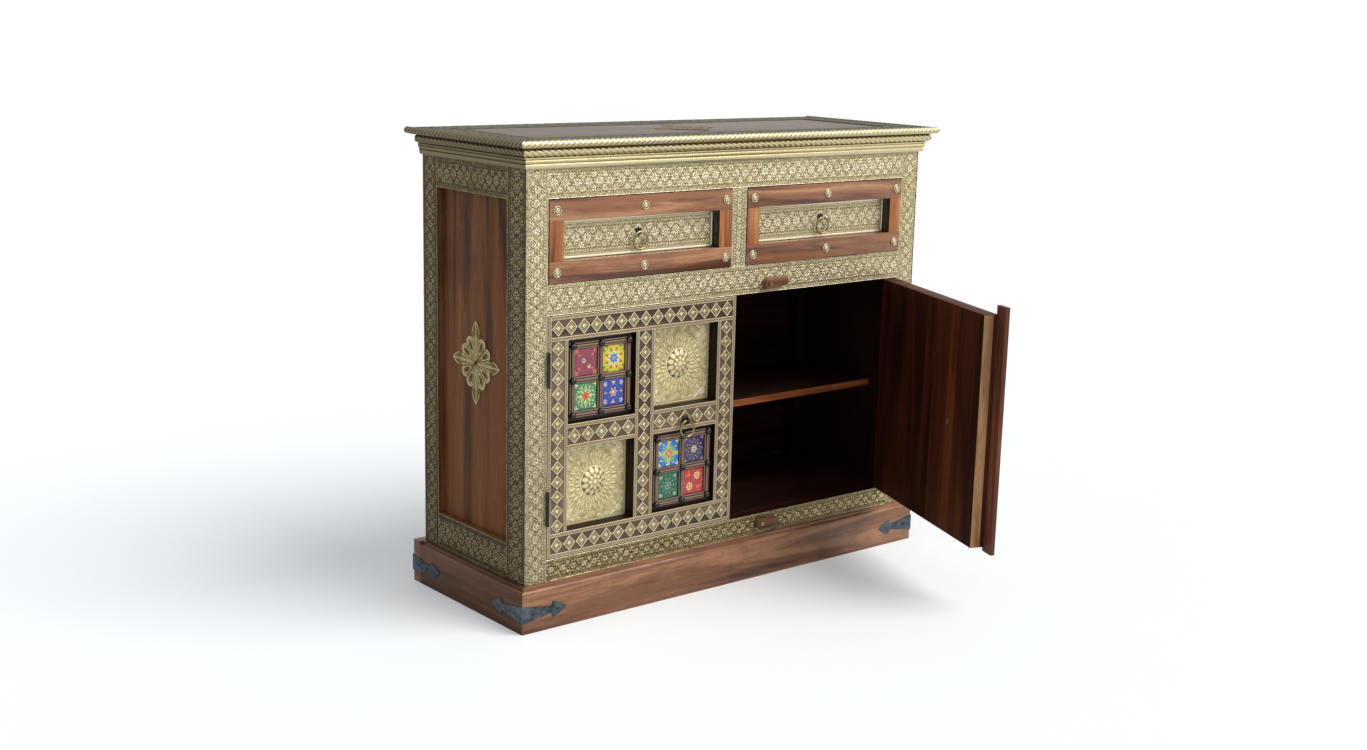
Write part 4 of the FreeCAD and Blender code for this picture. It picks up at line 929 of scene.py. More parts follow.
def make_rosette(face, u, v, reach, rise, ground):
    """A cast rosette that stands on a face."""
    rings, spokes = 92, 360
    theta = np.arange(spokes) * 2 * math.pi / spokes
    rho = np.linspace(0.004, 1.0, rings)[:, None] * (reach * rosette_edge(theta))[None, :]
    a, b = rho * np.cos(theta), rho * np.sin(theta)
    relief = rosette_height(a, b, reach)
    a, b = np.vstack([a, a[-1:]]), np.vstack([b, b[-1:]])
    foot = np.zeros((1, spokes))
    level = np.vstack([ground + rise * relief, foot])
    shape = Shape()
    shape.add(face.place(a + u, b + v, level), [sheet_faces(rings + 1, spokes, wrap_columns=True)],
              relief=np.vstack([relief, foot]).ravel())
    return shape


def make_side_rosettes(m):
    for side, word, face in SIDES:
        panel = Face((side * SIDE_PANEL_FACE, 0, 0), face.u, face.v)
        shape = make_rosette(panel, 6.0 * side, 472.0, 81.0, 2.0, 0.5)
        # The side rosettes' darker brass paints the shade of the side faces.
        make_embossed(f"{word}_side_rosette", shape, "carcass", m["side_rosette"], "side_rosettes")


def make_top(m):
    """Four mitred lengths of brass border, and the rosette in the middle."""
    outer_x, outer_y = BORDER_HALF_X, BORDER_HALF_Y
    half = BORDER_WIDTH / 2

    def mitred(far):
        def trims(u, v):
            limit = far - np.clip(v + half, 0, BORDER_WIDTH)
            return np.clip(u, -limit, limit), v
        return trims

    sides = {
        "front": (Face((0, -(outer_y - half), TOP_FACE), (1, 0, 0), (0, 1, 0)), outer_x),
        "right": (Face((outer_x - half, 0, TOP_FACE), (0, 1, 0), (-1, 0, 0)), outer_y),
        "back": (Face((0, outer_y - half, TOP_FACE), (-1, 0, 0), (0, -1, 0)), outer_x),
        "left": (Face((-(outer_x - half), 0, TOP_FACE), (0, -1, 0), (1, 0, 0)), outer_y),
    }
    for seed, (word, (face, far)) in enumerate(sides.items()):
        vine = along_x(-far, far, -half, half, 131 + seed, 26.0)
        shape = relief_sheet(Shape(), face, (-far, far), (-half, half), vine, 1.5, trims=mitred(far))
        make_embossed(f"top_border_{word}", shape, "carcass", m["top_brass"], "top_brass_border", clean=True)
    shape = make_rosette(TOP, 0.0, 0.0, 75.0, 1.4, 0.4)
    make_embossed("top_rosette_brass", shape, "carcass", m["top_rosette"], "top_rosette")


def moulding(name, section, reach, back, cell, m, node):
    """A moulding round the front and both sides, mitred at the front corners.

    section(s) gives, for places s along a run, the outward offset, the height and the relief of
    each point of the section. Each run is one piece.
    """
    runs = {
        "front": (-(HALF_WIDTH + reach), HALF_WIDTH + reach),
        "left": (-back, HALF_DEPTH + reach),
        "right": (-(HALF_DEPTH + reach), back),
    }
    for word, (start, end) in runs.items():
        s = np.linspace(start, end, int(round((end - start) / cell)) + 1)
        out, up, relief = section(s)
        along = np.repeat(s[:, None], out.shape[1], 1)
        if word == "front":
            limit = HALF_WIDTH + out
            corners = np.stack([np.clip(along, -limit, limit), -(HALF_DEPTH + out), up], -1)
        elif word == "left":
            corners = np.stack([-(HALF_WIDTH + out), -np.minimum(along, HALF_DEPTH + out), up], -1)
        else:
            corners = np.stack([HALF_WIDTH + out, np.maximum(along, -(HALF_DEPTH + out)), up], -1)
        shape = Shape()
        shape.add(corners, [sheet_faces(*out.shape, wrap_columns=True)], relief=relief.ravel())
        if word != "front":
            end_row = 0 if word == "left" else len(s) - 1
            ring = corners[end_row]
            middle = ring.mean(0)
            count = len(ring)
            fan = [[i, (i + 1) % count, count] for i in range(count)]
            shape.add(np.vstack([ring, middle]), [fan], relief=np.full(count + 1, 0.5))
        # The side runs get the darker copy, as painted shade.
        finish = m["cornice_brass"] if word == "front" else m["painted_shade_cornice"]
        make_embossed(f"{name}_{word}", shape, "carcass", finish, node, clean=True)


def rope_section(centre, height, radius, flat, pitch, lean, depth, graded=0.0):
    """Section of a twisted rope with a flat back; the last argument lightens its upper side as painted light, where the
    rope above casts its shadow.
    """
    angles = np.arange(26) * 2 * math.pi / 26 - math.pi

    def section(s):
        arc = angles * radius
        phase = (s[:, None] - lean * arc[None, :]) / pitch
        ridge = np.abs(np.cos(math.pi * phase)) ** 0.55
        r = radius * (1 - depth * (1 - ridge))
        out = np.maximum(centre + r * np.cos(angles), flat)
        up = height + r * np.sin(angles)
        return out, up, 0.16 + 0.76 * ridge ** 1.5 + graded * np.clip(np.sin(angles), 0, 1)
    return section


def frieze_section(s):
    """Section of the frieze: plain fillet, dotted band, bead line."""
    base = np.array([
        (3.5, 849.0, 0.2), (5.6, 849.1, 0.6), (6.4, 850.0, 1.0), (6.9, 852.0, 1.0), (7.1, 854.2, 1.0),
        (6.9, 856.2, 0.9), (6.3, 857.1, 0.35), (6.0, 857.6, 0.0), (6.5, 858.1, 0.25), (7.6, 858.9, 0.5),
        (8.2, 860.0, 0.7), (8.5, 861.2, 0.8), (8.6, 862.4, 0.8), (8.5, 863.6, 0.7), (8.1, 864.7, 0.4),
        (7.6, 865.4, 0.0), (8.3, 865.9, 0.3), (9.9, 866.4, 0.9), (10.7, 867.2, 1.0), (10.9, 868.1, 1.0),
        (10.6, 869.1, 0.9), (9.8, 869.8, 0.5), (7.0, 870.4, 0.2), (3.5, 870.7, 0.1),
    ])
    dots = np.abs(np.cos(math.pi * s / 5.2)) ** 0.7
    band = np.exp(-((base[:, 1] - 862.0) / 1.9) ** 2)
    lift = band[None, :] * (dots[:, None] - 0.5)
    out = base[:, 0][None, :] + 1.3 * lift
    up = np.repeat(base[:, 1][None, :], len(s), 0)
    relief = np.clip(base[:, 2][None, :] + 0.9 * lift, 0, 1)
    return out, up, relief


def make_cornice(m):
    upper = rope_section(23.2, 893.5, 6.5, 18.5, 12.0, 1.0, 0.17)
    # The lower rope's upper side is lightened as painted light, in the upper rope's shadow.
    lower = rope_section(10.7, 878.25, 7.5, 3.5, 14.0, -1.1, 0.20, 0.4)
    moulding("upper_rope", upper, 30.0, TOP_BACK, 1.0, m, "upper_rope_moulding")
    moulding("lower_rope", lower, 18.5, HALF_DEPTH, 1.0, m, "lower_rope_moulding")
    moulding("frieze_bead", frieze_section, 11.5, HALF_DEPTH, 1.3, m, "frieze_moulding")
    # The frieze boards behind the mouldings get the darker copy too, as painted shade.
    dress("frieze_boards", m["painted_shade_cornice"])


# ---------------------------------------------------------------- drawers


def make_drawers(m):
    for side, word, _ in SIDES:
        body = f"{word}_drawer"
        boards(f"{word}_drawer_box", body, "inner_wood", m["inner"], 0.8)
        rails, stiles = Shape(), Shape()
        for corners, faces in solids_of(f"{word}_drawer_frame"):
            wide = np.ptp(corners[:, 0]) > np.ptp(corners[:, 2])
            # Painted shade on every face behind the drawer front, the reveals into the opening among them: full on the
            # stiles, about a third on the rails.
            depth = 0.35 if wide else 1.0
            add_board(
                rails if wide else stiles, corners, faces, 1.0, tone=None if wide else 0.35,
                crown=lambda points: depth * (points[:, 1] > DRAWER_FRONT + 0.7))
        for part, shape, material in (("rails", rails, "rail"), ("stiles", stiles, "frame")):
            make_piece(f"{word}_drawer_{part}", shape, body, "frame_wood", m[material],
                       [f"{word}_drawer_frame"], sharp=50.0)
        low_x, high_x = sided(side)(*DRAWER_BRASS_SPAN)
        vine = along_x(low_x, high_x, DRAWER_BRASS_LOW + 7.5, DRAWER_BRASS_HIGH - 7.5, 211 + side, 26.0)

        def panel(u, v):
            rim = np.minimum.reduce([u - low_x, high_x - u, v - DRAWER_BRASS_LOW, DRAWER_BRASS_HIGH - v])
            plain = np.clip((rim - 0.2) / 0.6, 0, 1) * np.clip((5.2 - rim) / 0.6, 0, 1)
            fold = 0.6 * dome(rim - 6.4, 0.7)
            inside = (rim > 7.4) * vine(u, v) / RELIEF
            return RELIEF * np.maximum.reduce([0.95 * plain, fold, inside])

        v_range = (DRAWER_BRASS_LOW, DRAWER_BRASS_HIGH)
        shape = relief_sheet(Shape(), front_face(0, DRAWER_PANEL, 0), (low_x, high_x), v_range, panel, 1.0)
        make_embossed(f"{word}_drawer_brass", shape, body, m["front_brass"], f"{word}_drawer_panel")
        studs = Shape()
        front = front_face(0, DRAWER_FRONT, 0)
        profile = ((8.5, 0.0), (8.5, 1.6), (8.2, 2.2), (7.4, 2.5), (6.9, 2.3), (6.5, 1.6), (5.9, 1.2), (5.3, 1.6),
                   (5.0, 2.6), (4.7, 3.1), (3.6, 3.4), (2.4, 3.5), (2.1, 3.1), (1.7, 3.2), (1.2, 3.9), (0.04, 4.1))
        shade = (0.3, 0.6, 0.85, 0.9, 0.7, 0.0, 0.0, 0.0, 0.6, 0.8, 0.8, 0.75, 0.2, 0.3, 0.9, 0.95)
        for s in DRAWER_STUD_X:
            for z in DRAWER_STUD_Z:
                lathe(studs, profile, 36, at(front, side * s, z), relief=shade)
        make_embossed(f"{word}_drawer_stud_domes", studs, body, m["plain_brass"], f"{word}_drawer_studs")
        make_boss(f"{word}_drawer_boss", body, side * DRAWER_MIDDLE, DRAWER_RING_Z, DRAWER_BOSS, m)
        dress(f"{word}_drawer_ring", m["ring_brass"])


def make_boss(name, body, x, z, y, m, is_open=False):
    """The blackened rose behind a ring pull's staple."""
    face = front_face(x, y, z)
    theta = np.arange(72) * 2 * math.pi / 72
    profile = ((7.4, 0.0), (7.3, 0.9), (6.2, 1.5), (4.4, 1.9), (3.4, 1.6), (2.9, 1.8), (0.05, 2.0))
    shape = Shape()
    radii = np.array([p[0] for p in profile])[:, None]
    wave = 1 + 0.10 * np.cos(8 * theta)[None, :] * np.clip(radii / 6.0, 0, 1)
    a = radii * wave * np.cos(theta)
    b = radii * wave * np.sin(theta)
    h = np.repeat(np.array([p[1] for p in profile])[:, None], 72, 1)
    shape.add(face.place(a, b, h), [sheet_faces(len(profile), 72, wrap_columns=True)])
    make_piece(name, shape, body, "iron", m["black_iron"], sharp=30.0, is_open=is_open)


# ---------------------------------------------------------------- doors


def strip_relief(along, across, half):
    """Embossing of a narrow edging strip: two fine rims and a row of slanting ticks."""
    rim = dome(np.abs(across) - (half - 0.9), 0.8)
    step = (along + across * 0.8) / 4.4
    tick = (0.5 + 0.5 * np.cos(2 * math.pi * step)) * (np.abs(across) < half - 1.9)
    return np.maximum(0.95 * rim, 0.12 + 0.55 * tick)


def make_lattice(side, word, m):
    """Brown ground with raised edging strips and chains of brass diamonds."""
    body = f"{word}_door"
    is_open = side > 0
    span = sided(side)
    ground = Shape()
    strips = Shape()
    diamonds = Shape()
    base = front_face(0, LATTICE_FACE, 0)
    edge = LATTICE_EDGE
    (_, first_far), (last_near, last_far) = WINDOW_SPANS
    stiles = ((DOOR_NEAR, DOOR_NEAR + STILE), (first_far, last_near), (last_far, DOOR_FAR))
    rails = ((LATTICE_LOW, LATTICE_LOW + RAIL), (LATTICE_HIGH - RAIL, LATTICE_HIGH))
    middle_rail = (WINDOW_ROWS[0][1], WINDOW_ROWS[1][0])

    def slab(near, far, low, high, along):
        x = span(near, far)
        box_board(ground, (x[0], LATTICE_BACK, low), (x[1], LATTICE_FACE, high), 0.0, along)

    def strip(near, far, low, high):
        x = span(near, far)
        upright = (high - low) > (far - near)
        half = (far - near) / 2 if upright else (high - low) / 2
        middle = (x[0] + x[1]) / 2 if upright else (low + high) / 2

        def height(u, v):
            along, across = (v, u) if upright else (u, v)
            return RELIEF * 1.3 * strip_relief(along, across - middle, half)

        relief_sheet(strips, base, x, (low, high), height, 0.95, ground=0.9)

    def chain(near, far, low, high):
        """Diamonds in a row, tip to tip, over a member's middle."""
        upright = (high - low) > (far - near)
        length = (high - low) if upright else (far - near)
        width = (far - near) if upright else (high - low)
        count = int(round(length / (28.0 if upright else 29.0)))
        pitch = length / count
        x = span(near, far)
        centre_x = (x[0] + x[1]) / 2
        for i in range(count):
            offset = (i + 0.5) * pitch - length / 2
            if upright:
                add_diamond(centre_x, (low + high) / 2 + offset, width / 2, pitch / 2)
            else:
                add_diamond(centre_x + offset, (low + high) / 2, pitch / 2, width / 2)

    def add_diamond(x, z, half_x, half_z):
        """A raised rim round a sunk field, with a domed boss and four leaves that point to the tips."""
        count = 33
        share = np.linspace(-1, 1, count)
        p, q = np.meshgrid(share, share, indexing="ij")
        a, b = (p + q) / 2, (p - q) / 2
        depth = 1 - np.maximum(np.abs(p), np.abs(q))
        inset = depth * half_x * half_z / math.hypot(half_x, half_z)
        rim = dome(inset - 1.25, 1.25)
        px, pz = a * half_x, b * half_z
        reach = min(half_x, half_z)
        boss = dome(np.hypot(px, pz), 0.30 * reach)
        wide, tall = np.abs(px), np.abs(pz)
        across = np.minimum(
            tall + np.clip(wide - 0.66 * reach, 0, 99), wide + np.clip(tall - 0.66 * reach, 0, 99))
        leaves = 0.55 * dome(across, 0.11 * reach) * (inset > 2.6)
        shade = np.maximum.reduce([0.88 * rim, boss, leaves, 0.42 * np.ones_like(rim) * (inset > 3.0)])
        rise = 1.2 + 1.1 * np.maximum.reduce([rim, 1.1 * boss, leaves])
        rise = np.where(inset <= 0.02, 0.7, rise)
        diamonds.add(
            base.place(x + px, z + pz, rise), [sheet_faces(count, count, flip=True)],
            relief=np.clip(shade, 0, 1).ravel())

    for low, high in rails:
        slab(DOOR_NEAR, DOOR_FAR, low, high, 0)
    for near, far in stiles:
        slab(near, far, rails[0][1], rails[1][0], 2)
    for near, far in WINDOW_SPANS:
        slab(near, far, *middle_rail, 0)

    inner_low, inner_high = rails[0][1], rails[1][0]
    for near, far in ((DOOR_NEAR, DOOR_NEAR + edge), (DOOR_FAR - edge, DOOR_FAR)):
        strip(near, far, LATTICE_LOW, LATTICE_HIGH)
    for low in (LATTICE_LOW, LATTICE_HIGH - edge, inner_low - edge, inner_high):
        strip(DOOR_NEAR + edge, DOOR_FAR - edge, low, low + edge)
    for near, far in ((stiles[0][1] - edge, stiles[0][1]), (first_far, first_far + edge),
                      (last_near - edge, last_near), (last_far, last_far + edge)):
        strip(near, far, inner_low, inner_high)
    for near, far in WINDOW_SPANS:
        strip(near, far, middle_rail[0], middle_rail[0] + edge)
        strip(near, far, middle_rail[1] - edge, middle_rail[1])

    for low, high in rails:
        chain(DOOR_NEAR + edge, DOOR_FAR - edge, low + edge, high - edge)
    for near, far in stiles:
        chain(near + edge, far - edge, inner_low, inner_high)
    for near, far in WINDOW_SPANS:
        chain(near, far, middle_rail[0] + edge, middle_rail[1] - edge)

    node = f"{word}_door_lattice"
    make_piece(f"{word}_lattice_ground", ground, body, "frame_wood", m["lattice"], [node], is_open=is_open)
    make_embossed(f"{word}_lattice_strips", strips, body, m["strip_brass"], node, is_open)
    make_embossed(f"{word}_lattice_diamonds", diamonds, body, m["lattice_brass"], node, is_open)


def sun_dome(rho, theta):
    """The boss in the middle of a rosette panel: three rows of petals, parted by grooves, over a cup."""
    cup = 8.3 * np.clip(1 - (rho / SUN_RADIUS) ** 2, 0, 1) ** 0.55
    rows = ((5.0, 15.5, 8, 0.5), (14.5, SUN_RADIUS, 12, 0.0))
    swell = np.where(rho < 5.6, 1.0 - 0.4 * (rho / 5.6) ** 4, 0.0)
    for low, high, count, shift in rows:
        share = np.clip((rho - low) / (high - low), 0, 1)
        turn = (theta * count / (2 * math.pi) + shift) % 1.0 - 0.5
        inside = (rho >= low) & (rho < high)
        tip = np.sqrt(np.clip(1 - np.clip((share - 0.45) / 0.55, 0, 1) ** 2, 0, 1))
        across = np.abs(turn) * 2.06 / np.maximum(tip, 0.05)
        petal = np.sqrt(np.clip(1 - across ** 2, 0, 1)) * (0.45 + 0.55 * np.clip(share * 2.4, 0, 1))
        swell = np.where(inside & (petal > 0.02), petal, swell)
    return cup, swell


def sun_panel(u, v):
    """Relief of a rosette panel, and its shade: how bright each place is drawn, from wear and painted shade."""
    rho = np.hypot(u, v)
    theta = np.arctan2(v, u)
    cup, swell = sun_dome(rho, theta)
    inside = rho < SUN_RADIUS
    height = 0.6 * foliage(u, v, 6.4, 9, 0.9)
    height = np.maximum(height, 0.3 * stipple(u, v, 2.6, 9))
    shade = 0.34 + 0.9 * height + 0.20 * noise_field(u, v, 9.0, 77)
    for radius, length, width, count, shift in ((30.6, 13.6, 2.3, 30, 0.0), (44.0, 15.5, 2.7, 30, 0.5)):
        step_angle = 2 * math.pi / count
        place = theta / step_angle + shift
        number = np.floor(place).astype(int) % count
        lean = np.random.default_rng(count + int(radius)).uniform(-1, 1, (3, count))
        start = radius + 1.2 * lean[0][number]
        turn = place % 1.0 - 0.5 + 0.012 * (rho - 45.0) * lean[1][number]
        off = turn * step_angle * rho
        share = np.clip((rho - start) / length, 0, 1)
        half = width * (1 + 0.15 * lean[2][number]) * np.sin(np.pi * share ** 0.8) + 1e-6
        body = dome(off, half) * ((rho > start) & (rho < start + length))
        rib = body * (1 - 0.55 * np.exp(-(off / 0.55) ** 2))
        outline = np.exp(-((np.abs(off) - half - 0.5) / 0.6) ** 2) * ((rho > start) & (rho < start + length))
        height = np.where((rho > radius) & (rho < radius + length), 0.5 * height, height)
        height = np.maximum(height, 1.6 * rib)
        shade = np.where(body > 0.05, 0.34 + 0.50 * rib, shade * (1 - 0.75 * outline))
    au, av = np.abs(u), np.abs(v)
    spray = 1.2 * flower(au - 62.0, av - 62.0, 8.5, 8)
    for place, angle in (((54.0, 66.0), 2.6), ((66.0, 54.0), -1.03), ((56.0, 56.0), 3.93)):
        spray = np.maximum(spray, 1.0 * leaf(au - place[0], av - place[1], angle, 15.0, 3.0))
    for place in (32.0, 14.0):
        spray = np.maximum(spray, 0.8 * flower(au - place, av - 69.0, 4.4, 5))
        spray = np.maximum(spray, 0.8 * flower(au - 69.0, av - place, 4.4, 5))
    spray = np.maximum(spray * (rho > 60.0), 0.9 * dome(rho - (SUN_RADIUS + 1.2), 0.9))
    height = np.maximum(height, spray)
    shade = np.where(spray > 0.05, np.maximum(shade, 0.40 + 0.55 * spray), shade)
    rim = np.minimum(SUN_HALF_X - au, SUN_HALF_Z - av)
    run = np.where(SUN_HALF_X - au < SUN_HALF_Z - av, v, u)
    bead = (run / 3.9 - np.floor(run / 3.9) - 0.5) * 3.9
    dots = 0.9 * dome(np.hypot(bead, rim - 2.9), 1.6)
    height = np.where(rim < 5.0, dots, height)
    shade = np.where(rim < 5.0, 0.35 + 0.65 * dots, shade)
    height = np.where(inside, 0.25 + cup * (0.80 + 0.20 * swell), height)
    shade = np.where(inside, 0.14 + 0.72 * swell ** 1.8, shade)
    return np.clip(height, 0.0, 8.9), np.clip(shade, 0, 1)


def window(side, column, row):
    """Left, right, bottom and top of one of a door's four windows."""
    return (*sided(side)(*WINDOW_SPANS[column]), *WINDOW_ROWS[row])


def make_sun_panels(side, word, m):
    """The two domed brass panels of a door."""
    shape = Shape()
    for column, row in ((0, 1), (1, 0)):
        left, right, low, high = window(side, column, row)
        face = front_face((left + right) / 2, SUN_FACE, (low + high) / 2)
        half_u, half_v = (right - left) / 2 - 0.1, (high - low) / 2 - 0.1
        count_u, count_v = 176, 178
        places = np.linspace(-half_u, half_u, count_u), np.linspace(-half_v, half_v, count_v)
        u, v = np.meshgrid(*places, indexing="ij")
        height, shade = sun_panel(u, v)
        shape.add(face.place(u, v, height + 0.9), [sheet_faces(count_u, count_v)], relief=shade.ravel())
    make_embossed(f"{word}_sun_panels", shape, f"{word}_door", m["sun_brass"], f"{word}_door_rosettes", side > 0)


def reed_profile():
    """Across a window bar: three reeds on a flat body, as (offset, height, painted highlight) points."""
    points = [(-6.5, 0.0, 0.0), (-6.5, 6.6, 0.0)]
    for centre, radius, top in ((-4.5, 1.9, 9.0), (0.0, 2.4, 10.9), (4.5, 1.9, 9.0)):
        for angle in np.linspace(math.pi, 0, 13):
            rise = math.sin(angle)
            points.append((centre + radius * math.cos(angle), top - radius * (1 - rise), 0.80 * rise ** 4))
    points += [(6.5, 6.6, 0.0), (6.5, 0.0, 0.0)]
    return np.array(points)


def make_bars(side, word, m):
    """A seat board and border in each tile window, reeded bars over them, and a black ball at each crossing."""
    bars, balls = Shape(), Shape()
    profile = reed_profile()
    for column, row in ((1, 1), (0, 0)):
        left, right, low, high = window(side, column, row)
        box_board(bars, (left, TILE_SEAT, low), (right, SUN_FACE, high), 0.0)
        edge = TILE_BORDER
        strips = (
            ((left, low), (left + edge, high)), ((right - edge, low), (right, high)),
            ((left + edge, low), (right - edge, low + edge)), ((left + edge, high - edge), (right - edge, high)))
        for (x0, z0), (x1, z1) in strips:
            box_board(bars, (x0, TILE_SEAT - 4.0, z0), (x1, TILE_SEAT, z1), 0.5)
        left, right, low, high = left + edge, right - edge, low + edge, high - edge
        face = front_face(0, TILE_SEAT, 0)
        columns = (left + BAR_WIDTH / 2, (left + right) / 2, right - BAR_WIDTH / 2)
        rows = (low + BAR_WIDTH / 2, (low + high) / 2, high - BAR_WIDTH / 2)
        for upright, places, ends in ((True, columns, (low, high)), (False, rows, (left, right))):
            for place in places:
                across = np.repeat((place + profile[:, 0])[None, :], 2, 0)
                along = np.repeat(np.array(ends)[:, None], len(profile), 1)
                h = np.repeat(profile[:, 1][None, :] * (1.0 if upright else 0.995), 2, 0)
                corners = face.place(*((across, along) if upright else (along, across)), h).reshape(-1, 3)
                grain = corners[:, [2, 0, 1] if upright else [0, 2, 1]] * MM + RANDOM.uniform(-3, 3, 3)
                # The reed tops carry a painted highlight.
                bars.add(corners, [sheet_faces(2, len(profile), flip=upright)], grain=grain,
                         tone=RANDOM.uniform(0, 1), crown=np.tile(profile[:, 2], 2))
        ball = [(5.2, 6.6), (5.2, 7.4)]
        ball += [(6.75 * math.cos(t), 11.0 + 6.7 * math.sin(t)) for t in np.linspace(-0.5, math.pi / 2 - 0.006, 14)]
        for u in columns:
            for v in rows:
                lathe(balls, ball, 28, at(face, u, v))
    body, node = f"{word}_door", [f"{word}_door_tile_grids"]
    make_piece(f"{word}_window_bars", bars, body, "frame_wood", m["bar"], node, sharp=30, is_open=side > 0)
    make_piece(f"{word}_window_balls", balls, body, "iron", m["ball"], node, sharp=50, is_open=side > 0)


# Paints of the tiles: the ground, then marks laid over it in order
CREAM = (232, 222, 188)
TILE_GROUNDS = {
    "magenta": (158, 50, 78), "yellow": (226, 204, 34), "green": (58, 140, 78), "blue": (42, 70, 160),
    "sky": (44, 128, 208), "purple": (58, 46, 84), "emerald": (22, 98, 78), "red": (192, 44, 52),
}


def star(x, y, points, inner, outer, turn=0.0):
    """Inside a star."""
    rho, theta = np.hypot(x, y), np.arctan2(y, x) + turn
    share = np.abs(((theta * points / (2 * math.pi)) % 1.0) * 2 - 1)
    return rho < inner + (outer - inner) * share ** 1.2


def ring(x, y, low, high):
    rho = np.hypot(x, y)
    return (rho > low) & (rho < high)


def spots(x, y, radius, size, count, turn=0.0):
    """Inside one of a circle of dots."""
    rho, theta = np.hypot(x, y), np.arctan2(y, x) + turn
    step = 2 * math.pi / count
    off = ((theta / step + 0.5) % 1.0 - 0.5) * step
    return np.hypot(rho * np.cos(off) - radius, rho * np.sin(off)) < size


